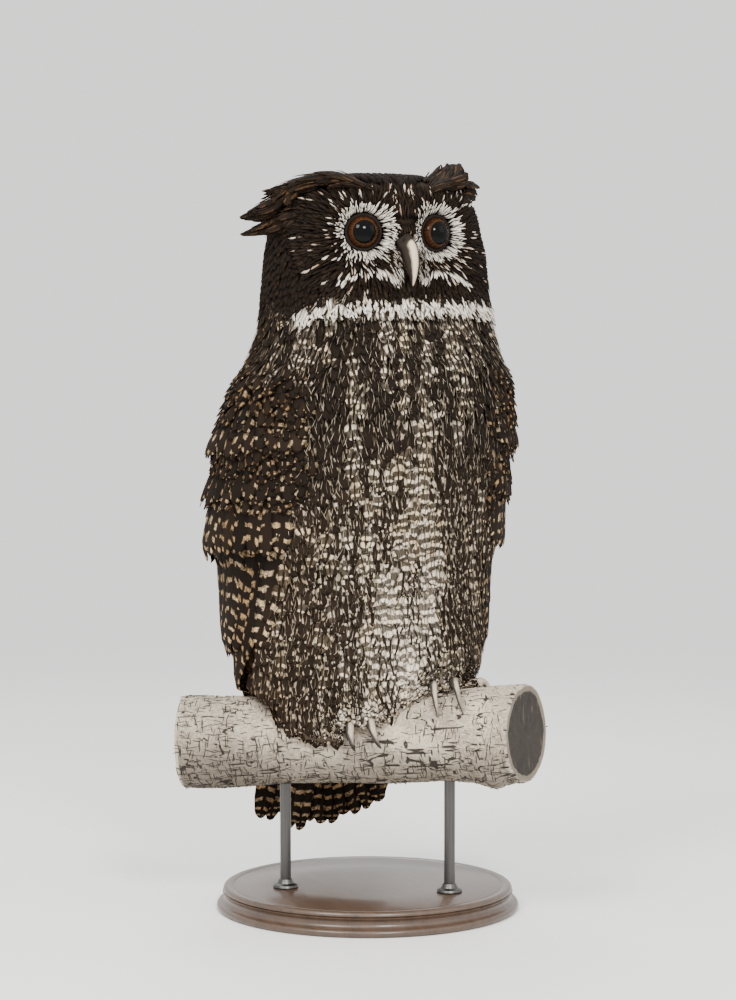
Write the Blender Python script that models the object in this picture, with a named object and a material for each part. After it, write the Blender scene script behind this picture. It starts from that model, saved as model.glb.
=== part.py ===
"""Eagle-owl on a cut branch, held by a plain display stand. Metres, +Z up.

The owl faces -Y, and its middle plane is X = 0. The origin is the middle of the
stand base's underside. Head, neck, trunk and folded wings share one outline, a
column of rings. The wings are shells on it, and thin cuts part the rest.
"""

import math

import bmesh
import bpy
from mathutils import Matrix, Vector

# Fits
GAP = 0.0004                    # left round every piece that touches another
FLAT = math.radians(0.1)        # faces that bend less than this become one
ROOM_SPARE = 0.0024             # and between plumage and toes
ROOM_FLAT = math.radians(9)
BODY_Y = 0.022                  # the middle of the standing body

# Stand
BASE_RADIUS = 0.140
BASE_HEIGHT = 0.022
BASE_EDGE = 0.004
ROD_RADIUS = 0.005
ROD_PLACES = {"right": -0.092, "left": 0.060}   # along the perch
ROD_INTO_PERCH = 0.010

# Perch: a length of branch, cut off square at one end and aslant at the other
PERCH_MIDDLE = Vector((0, BODY_Y - 0.060, 0.163))
PERCH_YAW = math.radians(-32)
PERCH_RISE = math.radians(2.8)
PERCH_START, PERCH_END = -0.187, 0.130
PERCH_RADIUS = 0.0400
PERCH_SWELL = 0.0060            # at the thicker end
PERCH_CUT_SLOPE = 0.36
PERCH_KNOT = (0.100, 2.65, 0.010)    # along, round from the top, height
PERCH_SIDES = 18

# The outline that body and wings share:
# height, middle Y, half width, depth to the front, depth to the back, squareness
OUTLINE = (
    (0.6765, -0.014, 0.020, 0.014, 0.018, 2.0),
    (0.6745, -0.014, 0.050, 0.036, 0.042, 2.0),
    (0.665, -0.015, 0.078, 0.058, 0.068, 2.2),
    (0.645, -0.019, 0.092, 0.066, 0.084, 2.3),
    (0.610, -0.020, 0.101, 0.071, 0.092, 2.3),
    (0.575, -0.021, 0.107, 0.072, 0.091, 2.2),
    (0.540, -0.023, 0.110, 0.075, 0.091, 2.1),
    (0.507, -0.021, 0.122, 0.088, 0.100, 2.0),
    (0.470, -0.008, 0.135, 0.101, 0.110, 2.0),
    (0.423, 0.010, 0.141, 0.112, 0.111, 2.0),
    (0.377, 0.022, 0.142, 0.115, 0.112, 2.0),
    (0.335, 0.029, 0.135, 0.113, 0.109, 2.0),
    (0.284, 0.029, 0.127, 0.110, 0.102, 2.0),
    (0.247, 0.024, 0.120, 0.107, 0.094, 2.0),
    (0.200, 0.022, 0.114, 0.102, 0.082, 2.0),
    (0.178, 0.022, 0.096, 0.090, 0.062, 2.0),
    (0.162, 0.022, 0.072, 0.072, 0.040, 2.0),
)
OUTLINE_SIDES = 24
HEM_FADE = 0.13                 # height over which the slant of the hem dies out
HEM_SLOPE = (0.24, 0.10)        # rise per metre along X and Y

# Thin cuts that part head, neck and trunk: height at the body's middle, slope
NECK_TOP = (0.578, 0.20)
NECK_FOOT = (0.531, 0.12)

# Folded wing: height, front edge, rear edge (degrees round from the front),
# half thickness of its shell
WING = (
    (0.498, 60, 102, 0.0045),
    (0.484, 47, 124, 0.0065),
    (0.462, 42, 138, 0.0080),
    (0.423, 41, 150, 0.0095),
    (0.377, 43, 158, 0.0095),
    (0.335, 46, 162, 0.0090),
    (0.284, 54, 166, 0.0080),
    (0.247, 64, 166, 0.0070),
    (0.200, 82, 164, 0.0055),
    (0.150, 104, 160, 0.0040),
    (0.118, 122, 154, 0.0026),
    (0.103, 132, 143, 0.0010),
)
# The wing's own outline goes on below the body's
WING_BELOW = (
    (0.200, 0.022, 0.116, 0.102, 0.085, 2.0),
    (0.150, 0.022, 0.090, 0.085, 0.088, 2.0),
    (0.103, 0.024, 0.070, 0.070, 0.086, 2.0),
)
WING_STEPS = ((0.425, 0.0050), (0.331, 0.0075), (0.244, 0.0060))  # rows of coverts
WING_STEP_LENGTH = 0.030
WING_PROUD = 0.0025             # how far the shell stands out of the body
WING_COLUMNS = 7

# Tail fan
TAIL_ROOT = Vector((-0.002, BODY_Y + 0.064, 0.232))
TAIL_LEAN = math.radians(6)
TAIL_SWING = math.radians(2.0)
TAIL_LENGTH = 0.182
TAIL_ROOT_HALF, TAIL_TIP_HALF = 0.042, 0.066
TAIL_THICK = 0.0065
TAIL_ROUND = 0.034              # how much shorter the outer feathers are
TAIL_FEATHERS = 6
TAIL_SCALLOP = 0.008
TAIL_CROWN = 0.010              # bow across the fan

# Eyes and the hollows round them
EYE_RADIUS = 0.0175
EYE_MIDDLE = Vector((0.0335, BODY_Y - 0.0835, 0.6215))
EYE_TURN = math.radians(13)     # outwards from straight ahead
HOLLOW_RADIUS = 0.055
HOLLOW_AHEAD = 0.0630           # from the eye's middle to the hollow's
HOLLOW_SQUASH = 0.92

# Bill: Y from the body's middle, height, half width, half depth
UPPER_BILL = (
    (-0.088, 0.612, 0.0080, 0.0085),
    (-0.104, 0.611, 0.0090, 0.0100),
    (-0.114, 0.604, 0.0088, 0.0095),
    (-0.1195, 0.594, 0.0072, 0.0076),
    (-0.1215, 0.584, 0.0046, 0.0050),
    (-0.1205, 0.5745, 0.0014, 0.0016),
)
LOWER_BILL = (
    (-0.088, 0.5945, 0.0070, 0.0040),
    (-0.103, 0.5935, 0.0066, 0.0040),
    (-0.1105, 0.5885, 0.0048, 0.0030),
    (-0.1135, 0.5825, 0.0018, 0.0013),
)

# Brow and ear tuft: outward, Y from the body's middle, height, half width, half depth.
# Each tuft is a long lock and shorter ones beside it.
TUFT_ROOT = (
    (0.018, -0.096, 0.6560, 0.0050, 0.0040),
    (0.038, -0.088, 0.6640, 0.0130, 0.0075),
    (0.058, -0.074, 0.6680, 0.0165, 0.0090),
)
TUFT_LOCKS = {
    "right": (
        TUFT_ROOT + (
            (0.0840, -0.050, 0.6590, 0.0170, 0.0105),
            (0.1035, -0.042, 0.6435, 0.0130, 0.0115),
            (0.1143, -0.033, 0.6378, 0.0085, 0.0062),
            (0.1246, -0.020, 0.6350, 0.0030, 0.0012),
        ),
        (
            (0.0680, -0.071, 0.6640, 0.0120, 0.0075),
            (0.0856, -0.055, 0.6610, 0.0100, 0.0065),
            (0.0970, -0.042, 0.6585, 0.0060, 0.0040),
            (0.1050, -0.033, 0.6590, 0.0025, 0.0012),
        ),
        (
            (0.0720, -0.062, 0.6430, 0.0110, 0.0130),
            (0.0870, -0.055, 0.6350, 0.0120, 0.0130),
            (0.1008, -0.045, 0.6280, 0.0105, 0.0098),
            (0.1147, -0.034, 0.6228, 0.0060, 0.0042),
            (0.1245, -0.022, 0.6198, 0.0025, 0.0011),
        ),
    ),
    "left": (
        TUFT_ROOT + (
            (0.0715, -0.052, 0.6775, 0.0135, 0.0085),
            (0.0790, -0.034, 0.6745, 0.0100, 0.0070),
            (0.0870, -0.012, 0.6650, 0.0040, 0.0020),
        ),
        (
            (0.0700, -0.062, 0.6630, 0.0120, 0.0090),
            (0.0860, -0.044, 0.6640, 0.0120, 0.0085),
            (0.0990, -0.028, 0.6605, 0.0080, 0.0060),
            (0.1110, -0.014, 0.6555, 0.0030, 0.0014),
        ),
    ),
}

# Feet: place of the ankle along the perch and round it from the top (degrees),
# then each toe: change along the perch, change round it, and the claw's reach
FEET = {
    "right": (-0.034, 28, {
        "inner": (0.029, 40, 33),
        "middle": (0.010, 43, 33),
        "outer": (-0.040, -6, -28),
        "hind": (-0.012, -66, -36),
    }),
    "left": (0.034, -30, {
        "inner": (0.016, 54, 40),
        "middle": (0.034, 50, 40),
        "outer": (0.052, -6, -24),
        "hind": (-0.004, -62, -36),
    }),
}
TOE_RADIUS = 0.0098
PALM = (0.0190, 0.0210, 0.0115)
CLAW_DEEP, CLAW_WIDE = 0.0056, 0.0044
CLAW_ARCH = 0.0095
LEG_TOP = 0.262
LEG_LIFT = 0.0200
LEG_LOW_SIZE, LEG_HIGH_SIZE = 0.0165, 0.0310

COLOURS = {
    "plumage_dark": ((0.055, 0.036, 0.022, 1), 0.85, 0),
    "plumage_barred": ((0.200, 0.130, 0.065, 1), 0.85, 0),
    "plumage_pale": ((0.560, 0.480, 0.350, 1), 0.85, 0),
    "eye": ((0.700, 0.210, 0.010, 1), 0.05, 0),
    "bill": ((0.090, 0.085, 0.080, 1), 0.35, 0),
    "claw": ((0.050, 0.045, 0.042, 1), 0.30, 0),
    "bark": ((0.300, 0.240, 0.170, 1), 0.90, 0),
    "base_wood": ((0.050, 0.032, 0.020, 1), 0.40, 0),
    "rod_metal": ((0.100, 0.095, 0.090, 1), 0.35, 1),
}


def clear_scene():
    for item in list(bpy.data.objects):
        bpy.data.objects.remove(item, do_unlink=True)


def material(name):
    found = bpy.data.materials.get(name)
    if found:
        return found
    colour, roughness, metallic = COLOURS[name]
    made = bpy.data.materials.new(name)
    made.use_nodes = True
    shader = made.node_tree.nodes["Principled BSDF"]
    shader.inputs["Base Color"].default_value = colour
    shader.inputs["Roughness"].default_value = roughness
    shader.inputs["Metallic"].default_value = metallic
    made.diffuse_color = colour
    return made


# Numbers

def smooth(low, high, value):
    share = min(1.0, max(0.0, (value - low) / (high - low)))
    return share * share * (3 - 2 * share)


def along_rows(rows, value):
    """The numbers of a table's rows at a value of the first one, on a smooth curve."""
    table = rows if rows[0][0] < rows[-1][0] else rows[::-1]
    value = min(max(value, table[0][0]), table[-1][0])
    last = len(table) - 2
    at = next(i for i in range(last + 1) if value <= table[i + 1][0])
    low, high = table[at], table[at + 1]
    before, after = table[max(at - 1, 0)], table[min(at + 2, last + 1)]
    step = high[0] - low[0]
    t = (value - low[0]) / step
    out = []
    for k in range(1, len(low)):
        slope_low = (high[k] - before[k]) / (high[0] - before[0]) * step
        slope_high = (after[k] - low[k]) / (after[0] - low[0]) * step
        out.append(
            (2 * t**3 - 3 * t**2 + 1) * low[k] + (t**3 - 2 * t**2 + t) * slope_low
            + (3 * t**2 - 2 * t**3) * high[k] + (t**3 - t**2) * slope_high
        )
    return out


def spread(low, high, count):
    return [low + (high - low) * i / (count - 1) for i in range(count)]


def rounded_power(value, squareness):
    return math.copysign(abs(value) ** (2 / squareness), value)


# Meshes

def add_object(name, bm, finish):
    bmesh.ops.recalc_face_normals(bm, faces=bm.faces)
    bmesh.ops.triangulate(bm, faces=bm.faces)
    mesh = bpy.data.meshes.new(name)
    bm.to_mesh(mesh)
    bm.free()
    mesh.materials.append(material(finish))
    mesh.shade_smooth()
    made = bpy.data.objects.new(name, mesh)
    bpy.context.scene.collection.objects.link(made)
    return made


def loft_mesh(rings):
    """A closed skin over rings of equal length, with a fan of faces at each end."""
    bm = bmesh.new()
    loops = [[bm.verts.new(p) for p in ring] for ring in rings]
    sides = len(rings[0])
    for first, second in zip(loops, loops[1:]):
        for i in range(sides):
            j = (i + 1) % sides
            bm.faces.new((first[i], first[j], second[j], second[i]))
    for loop in (loops[0], loops[-1]):
        middle = bm.verts.new(sum((v.co for v in loop), Vector()) / sides)
        for i in range(sides):
            bm.faces.new((loop[i], loop[(i + 1) % sides], middle))
    return bm


def swept(name, path, sizes, sides, finish, flat_to=Vector((0, 0, 1))):
    """A tube along a path, with an oval section of two half sizes at each point."""
    rings = []
    for i, place in enumerate(path):
        ahead = path[min(i + 1, len(path) - 1)] - path[max(i - 1, 0)]
        side = ahead.cross(flat_to).normalized()
        up = side.cross(ahead).normalized()
        wide, deep = sizes[i]
        rings.append([
            place + side * wide * math.cos(a) + up * deep * math.sin(a)
            for a in (2 * math.pi * k / sides for k in range(sides))
        ])
    return add_object(name, loft_mesh(rings), finish)


def ball(name, middle, radii, finish, turn=None, segments=20, rings=12):
    bm = bmesh.new()
    bmesh.ops.create_uvsphere(bm, u_segments=segments, v_segments=rings, radius=1)
    place = Matrix.Translation(middle) @ (turn or Matrix()) @ Matrix.Diagonal((*radii, 1))
    bm.transform(place)
    return add_object(name, bm, finish)


def hide(item):
    item.hide_render = True
    item.display_type = "WIRE"
    return item


def grown(item, by=GAP):
    """A hidden copy of a piece, a gap larger all round, to cut its neighbours with."""
    graph = bpy.context.evaluated_depsgraph_get()
    mesh = bpy.data.meshes.new_from_object(item.evaluated_get(graph))
    bm = bmesh.new()
    bm.from_mesh(mesh)
    bm.normal_update()
    steps = [v.normal * by * min(v.calc_shell_factor(), 2.0) for v in bm.verts]
    for vertex, step in zip(bm.verts, steps):
        vertex.co += step
    bm.to_mesh(mesh)
    bm.free()
    cutter = bpy.data.objects.new(item.name + "_cutter", mesh)
    bpy.context.scene.collection.objects.link(cutter)
    return hide(cutter)


def combine(item, others, operation="DIFFERENCE"):
    for other in others:
        step = item.modifiers.new(operation.title() + " " + other.name, "BOOLEAN")
        step.operation = operation
        step.solver = "EXACT"
        step.object = other
    return item


def room_round(name, items):
    """A hidden convex solid that holds several pieces with a little room to spare."""
    bm = bmesh.new()
    for item in items:
        bm.from_mesh(item.data)
    hull = bmesh.ops.convex_hull(bm, input=bm.verts)
    outer = {g for g in hull["geom"] if isinstance(g, bmesh.types.BMVert)}
    bmesh.ops.delete(bm, geom=list(set(bm.verts) - outer), context="VERTS")
    inside = [f for f in bm.faces if f not in set(hull["geom"])]
    bmesh.ops.delete(bm, geom=inside, context="FACES")
    bmesh.ops.dissolve_limit(bm, angle_limit=ROOM_FLAT, verts=bm.verts, edges=bm.edges)
    hull_object = hide(add_object(name, bm, "plumage_pale"))
    room = grown(hull_object, ROOM_SPARE)
    bpy.data.objects.remove(hull_object)
    return room


def settle(item):
    """Applies an object's cuts, and drops the crumbs that they leave beside it."""
    graph = bpy.context.evaluated_depsgraph_get()
    mesh = bpy.data.meshes.new_from_object(item.evaluated_get(graph))
    bm = bmesh.new()
    bm.from_mesh(mesh)
    unseen, largest = set(bm.verts), []
    while unseen:
        reached, edge = [], [unseen.pop()]
        while edge:
            vertex = edge.pop()
            reached.append(vertex)
            for link in vertex.link_edges:
                other = link.other_vert(vertex)
                if other in unseen:
                    unseen.remove(other)
                    edge.append(other)
        largest = max(largest, reached, key=len)
    crumbs = list(set(bm.verts) - set(largest))
    bmesh.ops.delete(bm, geom=crumbs, context="VERTS")
    bmesh.ops.dissolve_limit(bm, angle_limit=FLAT, verts=bm.verts, edges=bm.edges)
    bmesh.ops.triangulate(bm, faces=bm.faces)
    bm.to_mesh(mesh)
    bm.free()
    item.modifiers.clear()
    item.data = mesh


# Body

def outline_point(height, angle, rows=OUTLINE, off=0.0):
    """A point of the outline, its angle measured round from the front towards +X."""
    middle, wide, front, back, square = along_rows(rows, height)
    deep = front if math.cos(angle) > 0 else back
    x = (wide + off) * rounded_power(math.sin(angle), square)
    y = middle - (deep + off) * rounded_power(math.cos(angle), square)
    return Vector((x, y, height))


def hem_rise(point):
    """How much the hem's slant lifts a point of the trunk's front."""
    slant = 1 - smooth(OUTLINE[-1][0], OUTLINE[-1][0] + HEM_FADE, point.z)
    front = smooth(0.0, 0.06, BODY_Y - point.y)
    return slant * front * (HEM_SLOPE[0] * point.x + HEM_SLOPE[1] * (point.y - BODY_Y))


def body_part(name, finish, foot=None, top=None):
    """The column of rings between two slanting cuts, each a height and a slope."""
    heights = spread(OUTLINE[-1][0], 0.186, 3) + spread(0.210, 0.640, 13)
    heights += [0.654, 0.664, 0.671, 0.6745, OUTLINE[0][0]]
    angles = [2 * math.pi * k / OUTLINE_SIDES for k in range(OUTLINE_SIDES)]
    bm = loft_mesh([[outline_point(z, a) for a in angles] for z in heights])
    for vertex in bm.verts:
        vertex.co.z += hem_rise(vertex.co)
    for cut, keep_above in ((foot, True), (top, False)):
        if cut is None:
            continue
        height, slope = cut
        point = Vector((0, BODY_Y, height + (GAP / 2 if keep_above else -GAP / 2)))
        normal = Vector((0, -slope, 1)).normalized()
        made = bmesh.ops.bisect_plane(
            bm, geom=bm.verts[:] + bm.edges[:] + bm.faces[:], dist=1e-7, plane_co=point,
            plane_no=normal, clear_inner=keep_above, clear_outer=not keep_above,
        )
        rim = [e for e in made["geom_cut"] if isinstance(e, bmesh.types.BMEdge)]
        bmesh.ops.contextual_create(bm, geom=rim)
    return add_object(name, bm, finish)


def bill_piece(name, rows):
    path = [Vector((0, BODY_Y + y, z)) for y, z, _, _ in rows]
    return swept(name, path, [row[2:] for row in rows], 10, "bill", Vector((0, -0.6, 1)))


def tuft_piece(name, side, locks, steps=6):
    made = []
    for rows in locks:
        table = [(float(i), *row) for i, row in enumerate(rows)]
        fine = [along_rows(table, at) for at in spread(0, len(rows) - 1, steps)]
        path = [Vector((side * row[0], BODY_Y + row[1], row[2])) for row in fine]
        label = f"{name}_lock_{len(made)}" if made else name
        made.append(swept(label, path, [row[3:] for row in fine], 7, "plumage_dark"))
    return combine(made[0], [hide(lock) for lock in made[1:]], "UNION")


def eye_and_hollow(side_name, side):
    middle = Vector((side * EYE_MIDDLE.x, EYE_MIDDLE.y, EYE_MIDDLE.z))
    ahead = Vector((side * math.sin(EYE_TURN), -math.cos(EYE_TURN), 0))
    eye = ball("eye_" + side_name, middle, (EYE_RADIUS,) * 3, "eye", None, 14, 8)
    radii = (HOLLOW_RADIUS, HOLLOW_RADIUS, HOLLOW_RADIUS * HOLLOW_SQUASH)
    hollow = ball(
        "hollow_" + side_name, middle + ahead * HOLLOW_AHEAD, radii, "plumage_pale",
        None, 16, 10,
    )
    return eye, hide(hollow)


# Wings and tail

def wing_point(height, share, side, outer):
    front, rear, thick = along_rows(WING, height)
    angle = math.radians(front + (rear - front) * share)
    rows = OUTLINE if height >= WING_BELOW[0][0] else WING_BELOW
    edge = max(0.0, 1 - abs(2 * share - 1) ** 3)
    flare = 0.0
    for step, size in WING_STEPS:
        above = height - step
        if above >= 0:
            flare = max(flare, size * math.exp(-above / WING_STEP_LENGTH))
    off = WING_PROUD + flare * edge if outer else -2 * thick * (0.10 + 0.90 * edge)
    point = outline_point(height, angle, rows, off)
    return Vector((side * point.x, point.y, height))


def wing_piece(name, side):
    """A shell lying on the outline, closed all round by its rim."""
    heights = [row[0] for row in WING]
    for step, _ in WING_STEPS:
        heights += [step - 0.003, step]
    heights = sorted(set(heights))
    shares = [0.5 - 0.5 * math.cos(math.pi * u) for u in spread(0.0, 1.0, WING_COLUMNS)]
    bm = bmesh.new()
    grids = [
        [[bm.verts.new(wing_point(z, share, side, outer)) for share in shares] for z in heights]
        for outer in (True, False)
    ]
    for grid in grids:
        for low, high in zip(grid, grid[1:]):
            for i in range(WING_COLUMNS - 1):
                bm.faces.new((low[i], low[i + 1], high[i + 1], high[i]))
    out, inner = grids
    for k in range(len(heights) - 1):
        for i in (0, -1):
            bm.faces.new((out[k][i], out[k + 1][i], inner[k + 1][i], inner[k][i]))
    for i in range(WING_COLUMNS - 1):
        for k in (0, -1):
            bm.faces.new((out[k][i], out[k][i + 1], inner[k][i + 1], inner[k][i]))
    return add_object(name, bm, "plumage_dark")


def tail_tip(across):
    """Length of the fan at a place across it, from -1 to 1, with rounded feather ends."""
    lobe = abs(math.cos(math.pi * TAIL_FEATHERS * (across + 1) / 2))
    return TAIL_LENGTH - TAIL_ROUND * across**2 - TAIL_SCALLOP * lobe**3


def tail_piece():
    columns, rows = 25, 4
    frame = Matrix.Rotation(TAIL_SWING, 3, "Y") @ Matrix.Rotation(TAIL_LEAN, 3, "X")
    bm = bmesh.new()
    sheets = []
    for face in (-1, 1):
        sheet = []
        for across in spread(-1, 1, columns):
            length = tail_tip(across)
            line = []
            for share in spread(0, 1, rows):
                half = TAIL_ROOT_HALF + (TAIL_TIP_HALF - TAIL_ROOT_HALF) * share
                thick = TAIL_THICK * (1.25 - 0.8 * share) * (1 - 0.6 * across**4)
                bow = -TAIL_CROWN * across**2
                point = Vector((half * across, bow + face * thick / 2, -length * share))
                line.append(bm.verts.new(TAIL_ROOT + frame @ point))
            sheet.append(line)
        sheets.append(sheet)
    for sheet in sheets:
        for a, b in zip(sheet, sheet[1:]):
            for i in range(rows - 1):
                bm.faces.new((a[i], b[i], b[i + 1], a[i + 1]))
    front, back = sheets
    for i in range(columns - 1):
        for end in (0, -1):
            bm.faces.new((front[i][end], front[i + 1][end], back[i + 1][end], back[i][end]))
    for i in range(rows - 1):
        for edge in (0, -1):
            bm.faces.new((front[edge][i], front[edge][i + 1], back[edge][i + 1], back[edge][i]))
    return add_object("tail", bm, "plumage_dark")


# Perch, legs and feet

PERCH_AXIS = Vector((
    math.cos(PERCH_RISE) * math.cos(PERCH_YAW),
    math.cos(PERCH_RISE) * math.sin(PERCH_YAW),
    math.sin(PERCH_RISE),
))
PERCH_FRONT = Vector((math.sin(PERCH_YAW), -math.cos(PERCH_YAW), 0))
PERCH_UP = PERCH_FRONT.cross(PERCH_AXIS)


def perch_radius(along, angle):
    thicker = smooth(0.03, PERCH_END, along) + 0.35 * smooth(-0.05, PERCH_START, along)
    wave = 0.0010 * math.sin(3 * angle + 19 * along) + 0.0008 * math.sin(5 * angle - 11 * along)
    wave += 0.0012 * math.sin(34 * along + 1.0)
    where, round_at, high = PERCH_KNOT
    turned = math.remainder(angle - round_at, 2 * math.pi)
    off = ((along - where) / 0.016) ** 2 + (turned / 0.36) ** 2
    return PERCH_RADIUS + PERCH_SWELL * thicker + wave + high * math.exp(-off)


def round_perch(along, angle, lift):
    """A point round the perch: the angle is 0 on top and a quarter turn at the front."""
    out = PERCH_FRONT * math.sin(angle) + PERCH_UP * math.cos(angle)
    return PERCH_MIDDLE + PERCH_AXIS * along + out * (perch_radius(along, angle) + lift)


def perch_piece():
    rings = []
    for along in spread(PERCH_START, PERCH_END, 14):
        aslant = -PERCH_CUT_SLOPE * smooth(0.55, 1.0, along / PERCH_END)
        ragged = 0.06 * smooth(0.85, 1.0, along / PERCH_START)
        ring = []
        for k in range(PERCH_SIDES):
            angle = 2 * math.pi * k / PERCH_SIDES
            shift = aslant * PERCH_RADIUS * math.sin(angle)
            shift += ragged * PERCH_RADIUS * math.sin(3 * angle)
            ring.append(round_perch(along, angle, 0) + PERCH_AXIS * shift)
        rings.append(ring)
    return add_object("perch", loft_mesh(rings), "bark")


def toe_piece(name, foot, toe):
    along, angle = foot
    reach, turn, _ = toe
    path, sizes = [], []
    for share in spread(0, 1, 5):
        knuckle = 1 + 0.10 * math.sin(2.6 * math.pi * share)
        size = TOE_RADIUS * knuckle * (1 - 0.14 * share)
        at = math.radians(angle + turn * share)
        path.append(round_perch(along + reach * share, at, size * 0.92))
        sizes.append((size, size * 0.92))
    up = round_perch(along, math.radians(angle + turn / 2), 1) - PERCH_MIDDLE
    return swept(name, path, sizes, 6, "plumage_pale", up)


def claw_piece(name, foot, toe):
    along, angle = foot
    reach, turn, hook = toe
    start = angle + turn
    path, sizes = [], []
    for share in spread(0, 1, 6):
        further = share - 0.14
        at = math.radians(start + hook * further)
        drift = reach * 0.30 * further
        lift = 0.0062 * (1 - share) + CLAW_ARCH * math.sin(math.pi * share**0.85)
        path.append(round_perch(along + reach + drift, at, lift + 0.0008))
        thin = (1 - share) ** 0.70
        sizes.append((CLAW_WIDE * thin + 0.0005, CLAW_DEEP * thin + 0.0005))
    up = round_perch(along + reach, math.radians(start + hook / 3), 1) - PERCH_MIDDLE
    return swept(name, path, sizes, 7, "claw", up)


def leg_piece(name, foot, side):
    """The feathered shank, from the ankle up into the belly."""
    low = round_perch(foot[0], math.radians(foot[1]), LEG_LIFT)
    high = Vector((side * 0.046, BODY_Y - 0.046, LEG_TOP))
    path, sizes = [], []
    for share in spread(0, 1, 4):
        path.append(low.lerp(high, share))
        size = LEG_LOW_SIZE + (LEG_HIGH_SIZE - LEG_LOW_SIZE) * smooth(0, 1, share)
        sizes.append((size, size * 1.05))
    return swept(name, path, sizes, 12, "plumage_pale", Vector((0, 1, 0)))


def foot_pieces(side_name):
    """A foot of palm and four toes in one, its claws, its cutters, and the rooms it takes."""
    along, angle, toes = FEET[side_name]
    foot_at = (along, angle)
    radians = math.radians(angle)
    up = round_perch(along, radians, 1) - round_perch(along, radians, 0)
    turn = Matrix((PERCH_AXIS, up.cross(PERCH_AXIS), up)).transposed().to_4x4()
    palm_at = round_perch(along, radians, PALM[2] * 0.9)
    foot = ball("foot_" + side_name, palm_at, PALM, "plumage_pale", turn, 9, 6)
    parts, claws, cutters, rooms = [], [], [grown(foot)], [grown(foot, ROOM_SPARE)]
    for toe_name, toe in toes.items():
        end = f"{side_name}_{toe_name}"
        parts.append(hide(toe_piece("toe_" + end, foot_at, toe)))
        claws.append(claw_piece("claw_" + end, foot_at, toe))
        cutters.append(grown(parts[-1]))
        rooms.append(room_round("toe_room_" + end, [parts[-1], claws[-1]]))
    combine(foot, parts, "UNION")
    return foot, claws, cutters, rooms


# Stand

def stand_base():
    bm = bmesh.new()
    bmesh.ops.create_cone(
        bm, cap_ends=True, segments=32, radius1=BASE_RADIUS, radius2=BASE_RADIUS,
        depth=BASE_HEIGHT, matrix=Matrix.Translation((0, 0, BASE_HEIGHT / 2)),
    )
    rim = [e for e in bm.edges if min(v.co.z for v in e.verts) > BASE_HEIGHT / 2]
    bmesh.ops.bevel(bm, geom=rim, offset=BASE_EDGE, segments=2, affect="EDGES")
    made = add_object("stand_base", bm, "base_wood")
    made.data.set_sharp_from_angle(angle=math.radians(40))


def stand_rod(name, along, perch_cutter):
    foot = PERCH_MIDDLE + PERCH_AXIS * along
    low, high = BASE_HEIGHT + GAP, foot.z - PERCH_RADIUS + ROD_INTO_PERCH
    bm = bmesh.new()
    bmesh.ops.create_cone(
        bm, cap_ends=True, segments=16, radius1=ROD_RADIUS, radius2=ROD_RADIUS,
        depth=high - low, matrix=Matrix.Translation((foot.x, foot.y, (low + high) / 2)),
    )
    made = add_object(name, bm, "rod_metal")
    made.data.set_sharp_from_angle(angle=math.radians(40))
    combine(made, [perch_cutter])


def build():
    clear_scene()

    perch_cutter = grown(perch_piece())
    stand_base()
    for side_name, along in ROD_PLACES.items():
        stand_rod("stand_rod_" + side_name, along, perch_cutter)

    trunk = body_part("trunk", "plumage_barred", None, NECK_FOOT)
    neck = body_part("neck", "plumage_pale", NECK_FOOT, NECK_TOP)
    head = body_part("head", "plumage_dark", NECK_TOP, None)
    head_cutter = grown(head)

    tail = tail_piece()
    tail_cutter = grown(tail)
    combine(tail, [perch_cutter])
    combine(trunk, [tail_cutter, perch_cutter])

    for side_name, side in (("left", 1), ("right", -1)):
        foot, claws, foot_cutters, foot_rooms = foot_pieces(side_name)
        combine(foot, [grown(claw) for claw in claws] + [perch_cutter])
        for claw in claws:
            combine(claw, [perch_cutter])
        leg = leg_piece("leg_" + side_name, FEET[side_name][:2], side)
        combine(trunk, [grown(leg)] + foot_rooms)
        combine(leg, foot_cutters + [perch_cutter])

        wing = wing_piece("wing_" + side_name, side)
        combine(trunk, [grown(wing)])
        combine(wing, [tail_cutter, perch_cutter])

        eye, hollow = eye_and_hollow(side_name, side)
        combine(head, [hollow, grown(eye)])
        tuft = tuft_piece("ear_tuft_" + side_name, side, TUFT_LOCKS[side_name])
        combine(tuft, [head_cutter])

    upper = bill_piece("bill_upper", UPPER_BILL)
    lower = bill_piece("bill_lower", LOWER_BILL)
    upper_cutter = grown(upper)
    combine(lower, [upper_cutter])
    combine(head, [upper_cutter, grown(lower)])

    for item in list(bpy.data.objects):
        if item.modifiers:
            settle(item)


build()
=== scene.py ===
"""The looks of an eagle-owl on a cut branch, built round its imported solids.

Metres, +Z up. The owl faces -Y, and its own left is +X. One skin lies inside the
plumage, and each feather is a thin closed vane over it. A chart reads the solids'
surface by rays, so that feathers can be set out on it in rows.
"""
import math
from functools import cache

import bmesh
import bpy
import numpy as np
from bpy.props import FloatProperty, FloatVectorProperty, PointerProperty
from bpy.types import Operator, Panel, PropertyGroup
from mathutils import Matrix, Vector
from mathutils.bvhtree import BVHTree


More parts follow.
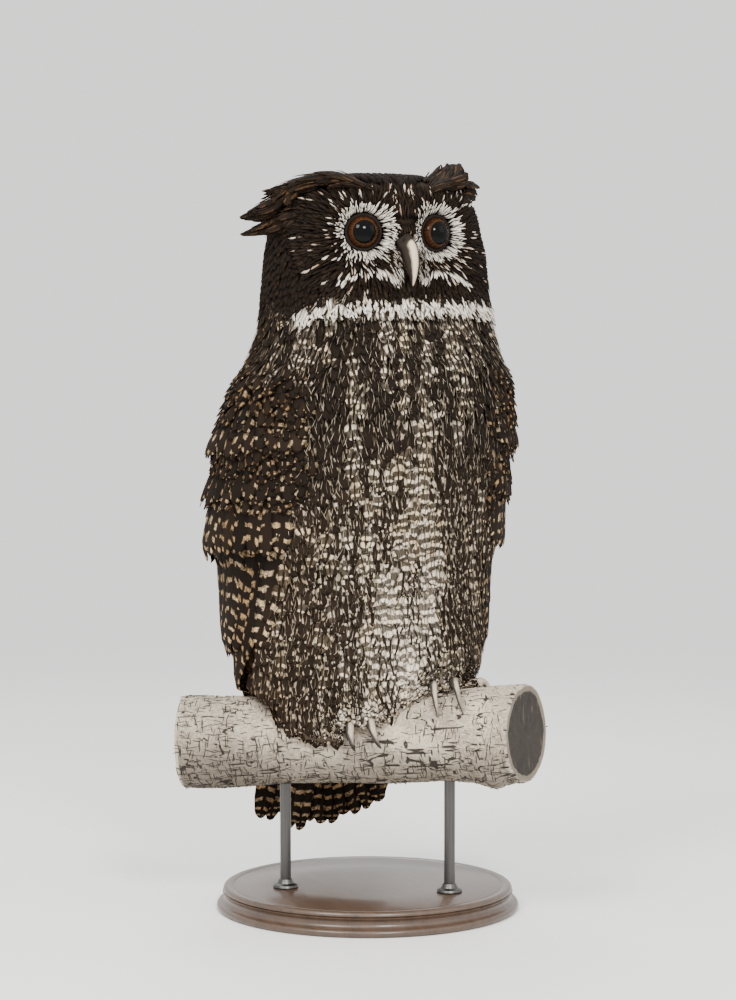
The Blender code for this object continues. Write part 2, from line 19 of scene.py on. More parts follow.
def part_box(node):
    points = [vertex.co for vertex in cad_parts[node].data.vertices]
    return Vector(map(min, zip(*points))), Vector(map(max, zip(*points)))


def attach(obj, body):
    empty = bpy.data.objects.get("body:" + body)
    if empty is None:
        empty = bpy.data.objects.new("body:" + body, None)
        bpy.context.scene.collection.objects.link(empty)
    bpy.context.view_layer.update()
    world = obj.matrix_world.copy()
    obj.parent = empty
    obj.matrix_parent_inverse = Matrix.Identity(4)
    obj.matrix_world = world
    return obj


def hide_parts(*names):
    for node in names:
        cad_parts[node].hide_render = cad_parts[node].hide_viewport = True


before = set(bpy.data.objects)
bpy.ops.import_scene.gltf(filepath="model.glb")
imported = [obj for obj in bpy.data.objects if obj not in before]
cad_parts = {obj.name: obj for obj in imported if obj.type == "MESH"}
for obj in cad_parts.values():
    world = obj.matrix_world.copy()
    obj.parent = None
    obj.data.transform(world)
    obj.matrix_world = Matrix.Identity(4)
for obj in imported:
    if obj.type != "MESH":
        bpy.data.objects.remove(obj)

bl_info = {
    "name": "Eagle-owl on a branch",
    "version": (1, 0, 0),
    "blender": (4, 5, 0),
    "location": "View3D > Sidebar > Owl",
    "description": "Skin, plumage, eyes, bill, claws, bark and stand of an eagle-owl model",
    "category": "Object",
}

SIDES = {"right": -1, "left": 1}
COLUMN = ("head", "neck", "trunk", "wing_left", "wing_right")
SHANKS = ("leg_left", "leg_right", "foot_left", "foot_right")
FLESH = COLUMN + SHANKS + ("tail", "ear_tuft_left", "ear_tuft_right")
TOES = ("inner", "middle", "outer", "hind")

# Face
EYE = Vector((0.0335, -0.0615, 0.6215))     # middle of the owl's left eye
EYE_TURN = math.radians(13)                 # outwards from straight ahead
EYE_RADIUS = 0.0175
EYE_AHEAD_X = 0.0355                        # of the middle of its rings of feathers
IRIS_RADIUS = 0.0152
LIDS_TURN = 72                              # points round a lid
BULGE = 0.0016                              # of the clear front over the ball
EYE_ROWS, EYE_TURNS = 44, 64                # rings from front to back, and points in each
LID_OPENING = 0.0149                        # radius of the gap between the lids

# Facial disc: its roots' limits and its tips' limits, outwards from the midline and in height
DISC_ACROSS, DISC_HEIGHTS = (0.0002, 0.094), (0.562, 0.656)
DISC_OUTER_END, DISC_TOP_END = 0.096, 0.664
CROWN_LOW, CHEEK_LOW = 0.640, 0.556
RING_FIRST, RING_LAST = 0.0150, 0.0560      # radii of the first and last ring of roots
DISC_RADIUS = 0.0480                        # within it, no head feather is rooted
JAW_HEIGHT = 0.592                          # below it, they reach round to the front

# Middles that the head's and the face's unwraps are seen from
HEAD_MIDDLE, FACE_MIDDLE = (0, -0.018, 0.60), (0, 0.05, 0.60)

# Bristles at the bill's base: outwards and heights of their beds, and rows and columns
BRISTLE_ACROSS, BRISTLE_HEIGHTS = (0.0075, 0.0185), (0.579, 0.609)
BRISTLE_ROWS, BRISTLE_COLUMNS = 9, 5
BRISTLE_LENGTH = 0.0105

# Pale line below each ring: outwards and height
MOUSTACHE = (
    (0.011, 0.022, 0.034, 0.047, 0.057, 0.068), (0.5735, 0.5810, 0.5833, 0.5815, 0.5775, 0.5715),
)

HORN_TURNS = 48                             # points round the bill
# Bill: Y, height, half width, half depth
UPPER_BILL = (
    (-0.064, 0.6125, 0.0070, 0.0080), (-0.080, 0.6120, 0.0078, 0.0098),
    (-0.091, 0.6050, 0.0079, 0.0096), (-0.0972, 0.5945, 0.0068, 0.0076),
    (-0.0993, 0.5845, 0.0045, 0.0048), (-0.0985, 0.5760, 0.0018, 0.0020),
    (-0.0980, 0.5735, 0.0004, 0.0005),
)
LOWER_BILL = (
    (-0.066, 0.5945, 0.0070, 0.0040), (-0.081, 0.5935, 0.0066, 0.0040),
    (-0.0885, 0.5885, 0.0048, 0.0030), (-0.0915, 0.5825, 0.0012, 0.0010),
)

# Brow and ear tufts: locks of outwards, Y, height, half width, half depth
TUFT_ROOT = (
    (0.018, -0.074, 0.6555, 0.0030, 0.0015), (0.038, -0.066, 0.6630, 0.0105, 0.0040),
    (0.058, -0.052, 0.6680, 0.0160, 0.0080),
)
TUFT_LOCKS = {
    "right": (
        TUFT_ROOT + (
            (0.0840, -0.028, 0.6590, 0.0170, 0.0105), (0.1035, -0.020, 0.6435, 0.0130, 0.0115),
            (0.1143, -0.011, 0.6378, 0.0085, 0.0062), (0.1246, 0.002, 0.6350, 0.0030, 0.0012),
        ),
        (
            (0.0680, -0.049, 0.6640, 0.0120, 0.0075), (0.0856, -0.033, 0.6610, 0.0100, 0.0065),
            (0.0970, -0.020, 0.6585, 0.0060, 0.0040), (0.1050, -0.011, 0.6590, 0.0025, 0.0012),
        ),
        (
            (0.0720, -0.040, 0.6430, 0.0110, 0.0130), (0.0870, -0.033, 0.6350, 0.0120, 0.0130),
            (0.1008, -0.023, 0.6280, 0.0105, 0.0098), (0.1147, -0.012, 0.6228, 0.0060, 0.0042),
            (0.1245, 0.000, 0.6198, 0.0025, 0.0011),
        ),
    ),
    "left": (
        TUFT_ROOT + (
            (0.0715, -0.030, 0.6775, 0.0135, 0.0085), (0.0790, -0.012, 0.6745, 0.0100, 0.0070),
            (0.0870, 0.010, 0.6650, 0.0040, 0.0020),
        ),
        (
            (0.0700, -0.040, 0.6630, 0.0120, 0.0090), (0.0860, -0.022, 0.6640, 0.0120, 0.0085),
            (0.0990, -0.006, 0.6605, 0.0080, 0.0060), (0.1110, 0.008, 0.6555, 0.0030, 0.0014),
        ),
        (
            (0.0290, -0.049, 0.6645, 0.0080, 0.0040), (0.0470, -0.042, 0.6700, 0.0120, 0.0060),
            (0.0660, -0.032, 0.6760, 0.0120, 0.0075), (0.0800, -0.020, 0.6720, 0.0070, 0.0040),
        ),
    ),
}

# Rows of body feathers: lowest, highest, step up, gap across and size
BODY_ROWS = ((0.176, 0.478, 0.0084, 0.0108, 1.0), (0.478, 0.566, 0.0062, 0.0076, 0.72))
SKIN_CELL = 0.003                           # of the grid that the skin is made on

# Heights where the wing's tiers of feathers end
WING_TIPS = {"median": 0.425, "middle": 0.378, "greater": 0.331, "secondaries": 0.244}
WING_CUT = 0.215                            # below it, no skin lies under the wings
# Tier, feathers, length, half width, lift, then bars, streak and spacing of bars
COVERT_ROWS = (
    ("greater", 16, 0.080, 0.0135, 0.0030, (0.85, 0.46, 0.0125)),
    ("middle", 17, 0.056, 0.0125, 0.0036, (0.84, 0.54, 0.0120)),
    ("median", 18, 0.044, 0.0115, 0.0042, (0.83, 0.58, 0.0115)),
)

# Tail
TAIL_ROOT = Vector((-0.002, 0.086, 0.232))
TAIL_LEAN, TAIL_SWING = math.radians(6), math.radians(2)
TAIL_FEATHERS = 12
TAIL_LENGTH, TAIL_ROUND = 0.182, 0.034
TAIL_ROOT_HALF, TAIL_TIP_HALF = 0.042, 0.066

# Branch: its own angle is 0 on top and a quarter turn at the front
BRANCH_MIDDLE = Vector((0, -0.038, 0.163))
BRANCH_YAW, BRANCH_RISE = math.radians(-32), math.radians(2.8)
BRANCH_START, BRANCH_END = -0.187, 0.130
BRANCH_RADIUS = 0.0400
BRANCH_CUT = 0.36                           # slope of the sawn face at the thick end
BRANCH_ROWS, BRANCH_TURNS = 290, 200        # rings along the bark, and points in each
END_SHARES = (0.97, 0.90, 0.86, 0.7, 0.5, 0.3, 0.12)    # radii of a sawn end's rings

# Stand: points round its parts, and the angle from which an edge stays sharp
BASE_TURNS, ROD_TURNS = 144, 40
SHARP = math.radians(35)

# Charts: where their rays start, the steps of their grids, and how far they reach
OUTSIDE = 0.40
GRID_ANGLE = 3.0
GRID_STEP = 0.004
SIDE_LOW, SIDE_HIGH = 0.06, 0.685
FACE_ACROSS, FACE_LOW, FACE_HIGH = 0.10, 0.54, 0.68


# Numbers

def smooth(low, high, value):
    """0 up to low and 1 from high, with soft ends."""
    share = np.clip((value - low) / (high - low), 0, 1)
    return share * share * (3 - 2 * share)


def mixed(first, second, share):
    """Colours or points between two, by shares with one number each."""
    share = np.asarray(share)[..., None]
    return np.asarray(first) * (1 - share) + np.asarray(second) * share


def unit(vectors):
    return vectors / np.maximum(np.linalg.norm(vectors, axis=-1, keepdims=True), 1e-9)


def along_rows(rows, places):
    """A table's row at each place, counted from its first row, on smooth curves."""
    values = np.array(rows, float)
    slopes = np.gradient(values, axis=0)
    places = np.clip(places, 0, len(values) - 1)
    at = np.minimum(places.astype(int), len(values) - 2)
    t = (places - at)[..., None]
    return (
        (2 * t**3 - 3 * t**2 + 1) * values[at] + (t**3 - 2 * t**2 + t) * slopes[at]
        + (3 * t**2 - 2 * t**3) * values[at + 1] + (t**3 - t**2) * slopes[at + 1]
    )


class Noise:
    """Smooth values between 0 and 1 over space, the same on each run."""

    def __init__(self, seed, cells=32):
        self.cells = cells
        self.table = np.random.default_rng(seed).random((cells,) * 3)

    def at(self, points, size):
        scaled = np.asarray(points, float) / size
        base = np.floor(scaled).astype(int)
        part = scaled - base
        part = part * part * (3 - 2 * part)
        total = 0
        for corner in np.ndindex(2, 2, 2):
            weight = np.prod(np.where(corner, part, 1 - part), axis=-1)
            i, j, k = np.moveaxis((base + corner) % self.cells, -1, 0)
            total = total + weight * self.table[i, j, k]
        return total


NOISE = Noise(11)


def in_scene(name, data):
    """A new object, linked to the scene."""
    item = bpy.data.objects.new(name, data)
    bpy.context.scene.collection.objects.link(item)
    return item


def modified(mesh, build):
    """The plain mesh that a mesh becomes under the modifiers that build adds."""
    item = in_scene("raw", mesh)
    build(item.modifiers)
    graph = bpy.context.evaluated_depsgraph_get()
    made = bpy.data.meshes.new_from_object(item.evaluated_get(graph))
    item.modifiers.clear()
    bpy.data.objects.remove(item)
    return made


def mesh_of(name, bm):
    """The mesh under edit as a mesh of its own, with the edit ended."""
    mesh = bpy.data.meshes.new(name)
    bm.to_mesh(mesh)
    bm.free()
    return mesh


# Surfaces read from the frame

def joined(names):
    """The named nodes' solids in one mesh under edit, each with its corners merged."""
    bm = bmesh.new()
    for name in names:
        bm.from_mesh(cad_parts[name].data)
    bmesh.ops.remove_doubles(bm, verts=bm.verts, dist=1e-5)
    return bm


def tree_of(names):
    bm = joined(names)
    tree = BVHTree.FromBMesh(bm)
    bm.free()
    return tree


def filled(grid):
    """The grid with its gaps taken from their neighbours, from the rims inwards."""
    while np.isnan(grid).any():
        wide = np.pad(grid, 1, constant_values=np.nan)
        near = np.stack([wide[2:, 1:-1], wide[:-2, 1:-1], wide[1:-1, 2:], wide[1:-1, :-2]])
        known = ~np.isnan(near)
        count = known.sum(axis=0)
        mean = np.where(known, near, 0).sum(axis=0) / np.maximum(count, 1)
        grid = np.where(np.isnan(grid) & (count > 0), mean, grid)
    return grid


def softened(grid, rounds):
    for _ in range(rounds):
        wide = np.pad(grid, ((1, 1), (0, 0)), mode="edge")
        grid = (wide[2:] + 2 * grid + wide[:-2]) / 4
        wide = np.pad(grid, ((0, 0), (1, 1)), mode="edge")
        grid = (wide[:, 2:] + 2 * grid + wide[:, :-2]) / 4
    return grid


class Chart:
    """A surface as depths along rays, read on a grid and then at any place between."""

    def __init__(self, tree, ray, us, vs, rounds, wrap=False):
        self.ray, self.us, self.vs, self.wrap = ray, us, vs, wrap
        depth = np.full((len(us), len(vs)), np.nan)
        starts, ways = ray(*np.meshgrid(us, vs, indexing="ij"))
        for i in range(len(us)):
            for j in range(len(vs)):
                hit = tree.ray_cast(Vector(starts[i, j]), Vector(ways[i, j]), OUTSIDE)
                if hit[0] is not None:
                    depth[i, j] = hit[3]
        self.depth = softened(filled(depth), rounds)

    def at(self, u, v):
        """Points on the surface."""
        u, v = np.broadcast_arrays(np.asarray(u, float), np.asarray(v, float))
        if self.wrap:
            u = (u + 180) % 360 - 180
        last = self.depth.shape
        i = np.clip((u - self.us[0]) / (self.us[1] - self.us[0]), 0, last[0] - 1.001)
        j = np.clip((v - self.vs[0]) / (self.vs[1] - self.vs[0]), 0, last[1] - 1.001)
        a, b = i.astype(int), j.astype(int)
        s, t = i - a, j - b
        depth = (
            self.depth[a, b] * (1 - s) * (1 - t) + self.depth[a + 1, b] * s * (1 - t)
            + self.depth[a, b + 1] * (1 - s) * t + self.depth[a + 1, b + 1] * s * t
        )
        start, way = self.ray(u, v)
        return start + way * depth[..., None]

    def normal(self, u, v):
        """Unit vectors out of the surface."""
        du, dv = self.us[1] - self.us[0], self.vs[1] - self.vs[0]
        across = self.at(u + du, v) - self.at(u - du, v)
        upward = self.at(u, v + dv) - self.at(u, v - dv)
        out = unit(np.cross(across, upward))
        _, way = self.ray(*np.broadcast_arrays(np.asarray(u, float), np.asarray(v, float)))
        inwards = (out * way).sum(axis=-1, keepdims=True) > 0
        return np.where(inwards, -out, out)


def side_ray(angle, height):
    """Level, towards the body's upright axis. The angle is in degrees from the front."""
    turn = np.radians(angle)
    out = np.stack([np.sin(turn), -np.cos(turn), np.zeros_like(turn)], axis=-1)
    start = out * OUTSIDE
    start[..., 2] += height
    return start, -out


def face_ray(x, z):
    """Level, straight at the face from the front."""
    start = np.stack([x, np.full_like(x, -OUTSIDE), z], axis=-1)
    return start, np.broadcast_to(np.array([0.0, 1.0, 0.0]), start.shape)


def round_angle(points):
    """Degrees round from the front, positive on the owl's left."""
    return np.degrees(np.arctan2(points[..., 0], -points[..., 1]))


@cache
def side_chart():
    """The body from all round."""
    return Chart(
        tree_of(COLUMN), side_ray, np.arange(-180, 180 + GRID_ANGLE * 1.5, GRID_ANGLE),
        np.arange(SIDE_LOW, SIDE_HIGH, GRID_STEP), 3, wrap=True,
    )


@cache
def face_chart():
    """The face from the front, on a finer grid."""
    fine = GRID_STEP / 2
    return Chart(
        tree_of(("head", "neck")), face_ray, np.arange(-FACE_ACROSS, FACE_ACROSS + 0.001, fine),
        np.arange(FACE_LOW, FACE_HIGH + 0.001, fine), 2,
    )


# Nodes and materials

class Wire:
    """A node's output that takes part in sums, each of which adds a Math node."""

    def __init__(self, nodes, socket):
        self.nodes, self.socket = nodes, socket

    def __add__(self, other):
        return self.nodes.math("ADD", self, other)

    __radd__ = __add__

    def __sub__(self, other):
        return self.nodes.math("SUBTRACT", self, other)

    def __rsub__(self, other):
        return self.nodes.math("SUBTRACT", other, self)

    def __mul__(self, other):
        return self.nodes.math("MULTIPLY", self, other)

    __rmul__ = __mul__

    def __pow__(self, other):
        return self.nodes.math("POWER", self, other)


class Nodes:
    """A node tree that is built one node at a time."""

    def __init__(self, tree):
        self.tree = tree

    def fill(self, made, inputs):
        """Gives a node's sockets their values, or links them to wires."""
        for key, value in inputs.items():
            if isinstance(value, Wire):
                self.tree.links.new(value.socket, made.inputs[key])
            else:
                made.inputs[key].default_value = value

    def node(self, kind, settings, inputs, output=0):
        """One output of a new node, which has its settings first and then its inputs."""
        made = self.tree.nodes.new(kind)
        for key, value in settings.items():
            setattr(made, key, value)
        self.fill(made, inputs)
        return Wire(self, made.outputs[output])

    def beside(self, wire, output):
        """Another output of a wire's node."""
        return Wire(self, wire.socket.node.outputs[output])

    def math(self, operation, *values):
        return self.node("ShaderNodeMath", {"operation": operation}, dict(enumerate(values)))


class Finish(Nodes):
    """A material and the nodes of its surface."""

    def __init__(self, name):
        self.material = bpy.data.materials.new(name)
        self.material.use_nodes = True
        super().__init__(self.material.node_tree)

    def surface_values(self, inputs):
        self.fill(self.tree.nodes["Principled BSDF"], inputs)

    def attribute(self, name, output="Fac"):
        return self.node("ShaderNodeAttribute", {"attribute_name": name}, {}, output)

    def parts(self, vector):
        split = self.node("ShaderNodeSeparateXYZ", {}, {0: vector})
        return [self.beside(split, i) for i in range(3)]

    def place(self, scale=(1, 1, 1)):
        """The place on the piece, in metres times a scale for each axis."""
        here = self.node("ShaderNodeTexCoord", {}, {}, "Object")
        return self.node("ShaderNodeMapping", {}, {"Vector": here, "Scale": scale})

    def noise(self, vector, scale, detail=3.0, roughness=0.55, distortion=0.0):
        return self.node("ShaderNodeTexNoise", {}, {
            "Vector": vector, "Scale": scale, "Detail": detail, "Roughness": roughness,
            "Distortion": distortion,
        }, "Fac")

    def step(self, value, low, high):
        """0 up to low and 1 from high, with soft ends."""
        return self.node("ShaderNodeMapRange", {"interpolation_type": "SMOOTHSTEP"}, {
            "Value": value, "From Min": low, "From Max": high,
        })

    def sine(self, value):
        return self.math("SINE", value)

    def colours(self, first, second, share):
        return self.node(
            "ShaderNodeMix", {"data_type": "RGBA"}, {0: share, 6: first, 7: second}, 2
        )

    def bumps(self, height, distance, strength):
        return self.node("ShaderNodeBump", {}, {
            "Strength": strength, "Distance": distance, "Height": height,
        })


def opaque(colour):
    return (*colour[:3], 1.0)


def plumage_finish():
    """Feathers: two colours, parted by a streak along each vane and bars across it, with painted
    shade towards each vane's root.
    """
    found = bpy.data.materials.get("plumage")
    if found:
        return found
    f = Finish("plumage")
    across, along, seed = f.parts(f.attribute("vane", "Vector"))
    bars, streak, count = f.parts(f.attribute("pattern", "Vector"))
    phase, mottle, contrast = f.parts(f.attribute("blend", "Vector"))
    ground, mark = f.attribute("ground", "Color"), f.attribute("mark", "Color")
    offset = f.math("ABSOLUTE", across)
    here = f.place()
    slow = f.noise(here, 55, 2.0)
    rough = f.noise(here, 260, 3.0)
    fine = f.noise(here, 1200, 2.0)
    wobble = rough - 0.5
    drop = (0.42 + f.step(along, 0.20, 0.80) * 0.58) * (1 - f.step(along, 0.90, 1.04) * 0.6)
    shaft = f.step(streak * drop + wobble * 0.28 - offset, -0.08, 0.10)
    turns = along * count + phase + (slow - 0.5) * 1.3 + wobble * 0.30 - offset * offset * 0.14
    wave = f.sine(turns * (2 * math.pi))
    barred = f.step(wave * 0.5 + bars - 0.5 + wobble * 0.7, -0.14, 0.18) * contrast
    grains = f.step(fine * 0.55 + rough * 0.45 + mottle * 0.16, 0.56, 0.68)
    peppered = grains * f.step(mottle, 0.0, 0.6)
    marked = f.math("MAXIMUM", f.math("MAXIMUM", shaft, barred), peppered * 0.85)
    shade = f.colours(ground, mark, marked)
    barbs = f.sine(along * 190 + offset * 40 + wobble * 10)
    light = 0.86 + barbs * 0.05 + wobble * 0.34 + seed * 0.18
    # Painted shade: each vane darkens towards its root, where the feathers lying over it would
    # shade it.
    depth = 0.45 + f.step(along, 0.15, 0.70) * 0.55
    shade = f.node("ShaderNodeVectorMath", {"operation": "SCALE"}, {
        0: shade, "Scale": light * depth
    })
    rachis = 1 - f.step(offset, 0.02, 0.10)
    relief = barbs * 0.35 + rachis * 0.4 + rough * 0.6
    f.surface_values({
        "Base Color": shade, "Roughness": 0.85, "Specular IOR Level": 0.06,
        "Normal": f.bumps(relief, 0.00020, 0.6),
    })
    return f.material


# Geometry trees

class Tree(Nodes):
    """A geometry node tree with named inputs."""

    def __init__(self, name, inputs):
        super().__init__(bpy.data.node_groups.new(name, "GeometryNodeTree"))
        face = self.tree.interface
        face.new_socket("Geometry", in_out="INPUT", socket_type="NodeSocketGeometry")
        self.names = {}
        for label, kind in inputs.items():
            made = face.new_socket(label, in_out="INPUT", socket_type="NodeSocket" + kind)
            self.names[label] = made.identifier
        face.new_socket("Geometry", in_out="OUTPUT", socket_type="NodeSocketGeometry")
        entry = self.node("NodeGroupInput", {}, {})
        self.given = {label: self.beside(entry, label) for label in ("Geometry", *inputs)}

    def vector(self, **parts):
        return self.node("ShaderNodeCombineXYZ", {}, parts)

    def read(self, name, kind):
        """A named value of the bed."""
        return self.node("GeometryNodeInputNamedAttribute", {"data_type": kind}, {"Name": name})

    def luck(self, low, high, shift):
        """A number for each point between low and high, from the tree's seed."""
        inputs = {2: low, 3: high, "Seed": self.given["Seed"] + shift}
        return self.node("FunctionNodeRandomValue", {"data_type": "FLOAT"}, inputs, 1)

    def scattered(self, density):
        """Random points on the bed."""
        return self.node(
            "GeometryNodeDistributePointsOnFaces", {"distribute_method": "RANDOM"},
            {"Mesh": self.given["Geometry"], "Density": density, "Seed": self.given["Seed"]},
        )

    def noted(self, points, name, kind, value):
        """The points with a named value that their instances keep."""
        return self.node(
            "GeometryNodeStoreNamedAttribute", {"data_type": kind, "domain": "POINT"},
            {"Geometry": points, "Name": name, "Value": value},
        )

    def spun(self, turn, angle):
        """A rotation, turned by an angle round its own Z."""
        spin = self.node("FunctionNodeAxisAngleToRotation", {}, {
            "Axis": (0, 0, 1), "Angle": angle,
        })
        return self.node("FunctionNodeRotateRotation", {"rotation_space": "LOCAL"}, {
            "Rotation": turn, "Rotate By": spin,
        })

    def finish(self, points, shape, turn, scale):
        """Ends the tree: the shape at each point, as mesh, in the material."""
        copies = self.node("GeometryNodeInstanceOnPoints", {}, {
            "Points": points, "Instance": shape, "Rotation": turn, "Scale": scale,
        })
        real = self.node("GeometryNodeRealizeInstances", {}, {"Geometry": copies})
        done = self.node("GeometryNodeSetMaterial", {}, {
            "Geometry": real, "Material": self.given["Material"],
        })
        self.fill(self.tree.nodes.new("NodeGroupOutput"), {"Geometry": done})

    def run(self, bed, values):
        """The plain mesh that the tree makes on a bed, which is a mesh."""

        def build(modifiers):
            made = modifiers.new("Make", "NODES")
            made.node_group = self.tree
            for label, value in values.items():
                made[self.names[label]] = value

        result = modified(bed, build)
        result.shade_smooth()
        return result


def bristle_tree():
    """Bent tapering bristles that stand on a bed along its headings."""
    tree = Tree("bristles", {
        "Density": "Float", "Length": "Float", "Width": "Float", "Seed": "Int",
        "Material": "Material",
    })
    length = tree.given["Length"]
    here = tree.node("GeometryNodeInputPosition", {}, {})
    points = tree.noted(tree.scattered(tree.given["Density"]), "root", "FLOAT_VECTOR", here)
    curve = tree.node("GeometryNodeCurveQuadraticBezier", {}, {
        "Resolution": 5, "Start": (0, 0, 0), "End": tree.vector(Z=length),
        "Middle": tree.vector(X=length * 0.22, Z=length * 0.50),
    })
    along = tree.node("GeometryNodeSplineParameter", {}, {})
    ring = tree.node("GeometryNodeCurvePrimitiveCircle", {"mode": "RADIUS"}, {
        "Resolution": 4, "Radius": 0.5,
    })
    bristle = tree.node("GeometryNodeCurveToMesh", {}, {
        "Curve": curve, "Profile Curve": ring, "Fill Caps": True,
        "Scale": (1.04 - along) * tree.given["Width"],
    })
    turn = tree.node("FunctionNodeAlignRotationToVector", {"axis": "Z"}, {
        "Vector": tree.read("heading", "FLOAT_VECTOR"),
    })
    turn = tree.spun(turn, tree.luck(-0.9, 0.9, 2))
    tree.finish(points, bristle, turn, tree.luck(0.6, 1.15, 1))
    return tree


def seam_tree():
    """Short raised seams on bark, each nearly along or nearly across its way."""
    tree = Tree("bark_seams", {
        "Density": "Float", "Length": "Float", "Width": "Float", "Height": "Float",
        "Way": "Vector", "Seed": "Int", "Material": "Material",
    })
    given = tree.given
    # The bed's crowd sets how many seams there are; it is higher where the bark has painted shadow.
    spread = tree.scattered(given["Density"] * tree.read("crowd", "FLOAT"))
    points = tree.noted(spread, "crack", "FLOAT", tree.luck(0.55, 1.0, 3))
    ball = tree.node("GeometryNodeMeshUVSphere", {}, {"Segments": 6, "Rings": 4, "Radius": 0.5})
    size = tree.vector(X=given["Length"], Y=given["Width"], Z=given["Height"])
    seam = tree.node("GeometryNodeTransform", {}, {"Geometry": ball, "Scale": size})
    turn = tree.node("FunctionNodeAlignRotationToVector", {"axis": "X", "pivot_axis": "Z"}, {
        "Rotation": tree.beside(spread, "Rotation"), "Vector": given["Way"],
    })
    square = tree.math("ROUND", tree.luck(0.0, 1.0, 1)) * (math.pi / 2)
    turn = tree.spun(turn, square + tree.luck(-0.35, 0.35, 2))
    stretch = tree.vector(X=tree.luck(0.45, 1.6, 4), Y=tree.luck(0.6, 1.2, 5), Z=1.0)
    tree.finish(points, seam, turn, stretch)
    return tree


# Feathers

# Cross sections of a vane: across it, and which face of it
FINE = ((-1, 0), (0, 1), (1, 0), (0, -1))
BROAD = ((-1, 0), (-0.5, 1), (0, 1), (0.5, 1), (1, 0), (0, -1))
BAKE_PATCH = 0.003                          # of a vane on the OFBake map


def stations(count, crowd=1.25):
    """Places along a spine, closer together towards the tip."""
    return 1 - (1 - np.linspace(0, 1, count)) ** crowd


def place_round(points, low=0.10, high=0.68):
    """Places on an unwrap of the body, round its axis and up it."""
    return unwrapped(points, (points[:, 2] - low) / (high - low))


def place_over(points, middle=HEAD_MIDDLE):
    """Places on an unwrap of the head, round its axis and over its top."""
    off = points - np.array(middle)
    rise = np.arctan2(off[:, 2], np.linalg.norm(off[:, :2], axis=-1))
    return unwrapped(points, rise / math.pi + 0.5)


def unwrapped(points, rise):
    turn = round_angle(points) / 360 + 0.5
    return np.clip(np.stack([turn, rise], axis=-1), 0.004, 0.996)


class Coat:
    """Feathers gathered for one piece, each a thin closed vane round its spine."""

    def __init__(self, name, section=FINE):
        self.name, self.section = name, np.array(section, float)
        self.values = {key: [] for key in ("points", "faces", "bake", *PAINT)}
        self.total = 0

    def add(self, spine, normal, halves, thick, arch, ground, mark, pattern, place, seeds):
        """Spines and normals: feathers by stations by 3. Halves: left and right widths."""
        count, last = spine.shape[:2]
        if count == 0:
            return
        tangent = unit(np.gradient(spine, axis=1))
        side = unit(np.cross(tangent, normal))
        out = np.cross(side, tangent)
        across, layer = self.section[:, 0], self.section[:, 1]
        share = np.linspace(0, 1, last)[None, :, None]
        width = np.where(across[None, None] < 0, halves[..., :1], halves[..., 1:]) * across
        thin = thick * (1 - 0.7 * share**2)
        rise = layer * thin / 2 - arch * np.abs(width) * np.abs(across)
        body = spine[:, :, None] + side[:, :, None] * width[..., None]
        body = body + out[:, :, None] * rise[..., None]

        def closed(root, rings, tip):
            """Values at the root, round the rings between and at the tip."""
            between = rings[:, 1:-1].reshape(count, -1, *rings.shape[3:])
            return np.concatenate([root, between, tip], axis=1)

        nothing = np.zeros((count, 1))
        points = closed(spine[:, :1], body, spine[:, -1:])
        vane_u = closed(nothing, np.broadcast_to(across, body.shape[:3]), nothing)
        vane_v = closed(nothing, np.broadcast_to(share, body.shape[:3]), nothing + 1)
        faces = vane_faces(last, len(across))
        if self.total == 0:
            self.turned = volume(points[0], faces) < 0
        if self.turned:
            faces = faces[:, ::-1]
        size = points.shape[1]
        starts = self.total + size * np.arange(count)
        seed = np.broadcast_to(seeds[:, None], vane_u.shape)
        patch = np.stack([vane_u * 0.5, vane_v**2 - 0.5], axis=-1) * BAKE_PATCH
        for key, rows in {
            "points": points, "faces": faces[None] + starts[:, None, None],
            "vane": np.stack([vane_u, vane_v, seed], axis=-1), "bake": place[:, None] + patch,
        }.items():
            self.values[key].append(rows.reshape(-1, rows.shape[-1]))
        for key, row in {
            "ground": ground, "mark": mark, "pattern": pattern[:, :3], "blend": pattern[:, 3:],
        }.items():
            self.values[key].append(np.repeat(row, size, axis=0))
        self.total += count * size

    def piece(self):
        """The finished mesh object, riding on the body."""
        values = {key: np.concatenate(rows) for key, rows in self.values.items()}
        points, faces = values["points"], values["faces"]
        mesh = bpy.data.meshes.new(self.name)
        mesh.vertices.add(len(points))
        mesh.vertices.foreach_set("co", points.astype(np.float32).ravel())
        mesh.loops.add(len(faces) * 3)
        mesh.loops.foreach_set("vertex_index", faces.astype(np.int32).ravel())
        mesh.polygons.add(len(faces))
        mesh.polygons.foreach_set("loop_start", np.arange(0, len(faces) * 3, 3, dtype=np.int32))
        mesh.update(calc_edges=True)
        mesh.shade_smooth()
        painted(mesh, *(values[key] for key in PAINT))
        unwrap(mesh, values["bake"])
        mesh.materials.append(plumage_finish())
        placed(self.name, mesh)


def vane_faces(last, ring):
    """Triangles of one vane: a fan at each end and bands between its rings."""
    faces = []
    end = (last - 2) * ring + 1
    for s in range(ring):
        t = (s + 1) % ring
        faces.append((0, 1 + s, 1 + t))
        faces.append((end, end - ring + t, end - ring + s))
        for k in range(last - 3):
            low, high = 1 + k * ring, 1 + (k + 1) * ring
            faces.append((low + s, high + s, high + t))
            faces.append((low + s, high + t, low + t))
    return np.array(faces)


def volume(points, faces):
    a, b, c = (points[faces[:, i]] for i in range(3))
    return float((a * np.cross(b, c)).sum())


# What data calls the values of each kind of attribute
FIELDS = {"FLOAT": "value", "FLOAT_VECTOR": "vector", "FLOAT_COLOR": "color"}


def note(mesh, name, kind, values):
    """Gives each point of a mesh a named value."""
    made = mesh.attributes.new(name, kind, "POINT")
    made.data.foreach_set(FIELDS[kind], values.astype(np.float32).ravel())


# What the plumage reads at each point
PAINT = ("vane", "pattern", "blend", "ground", "mark")


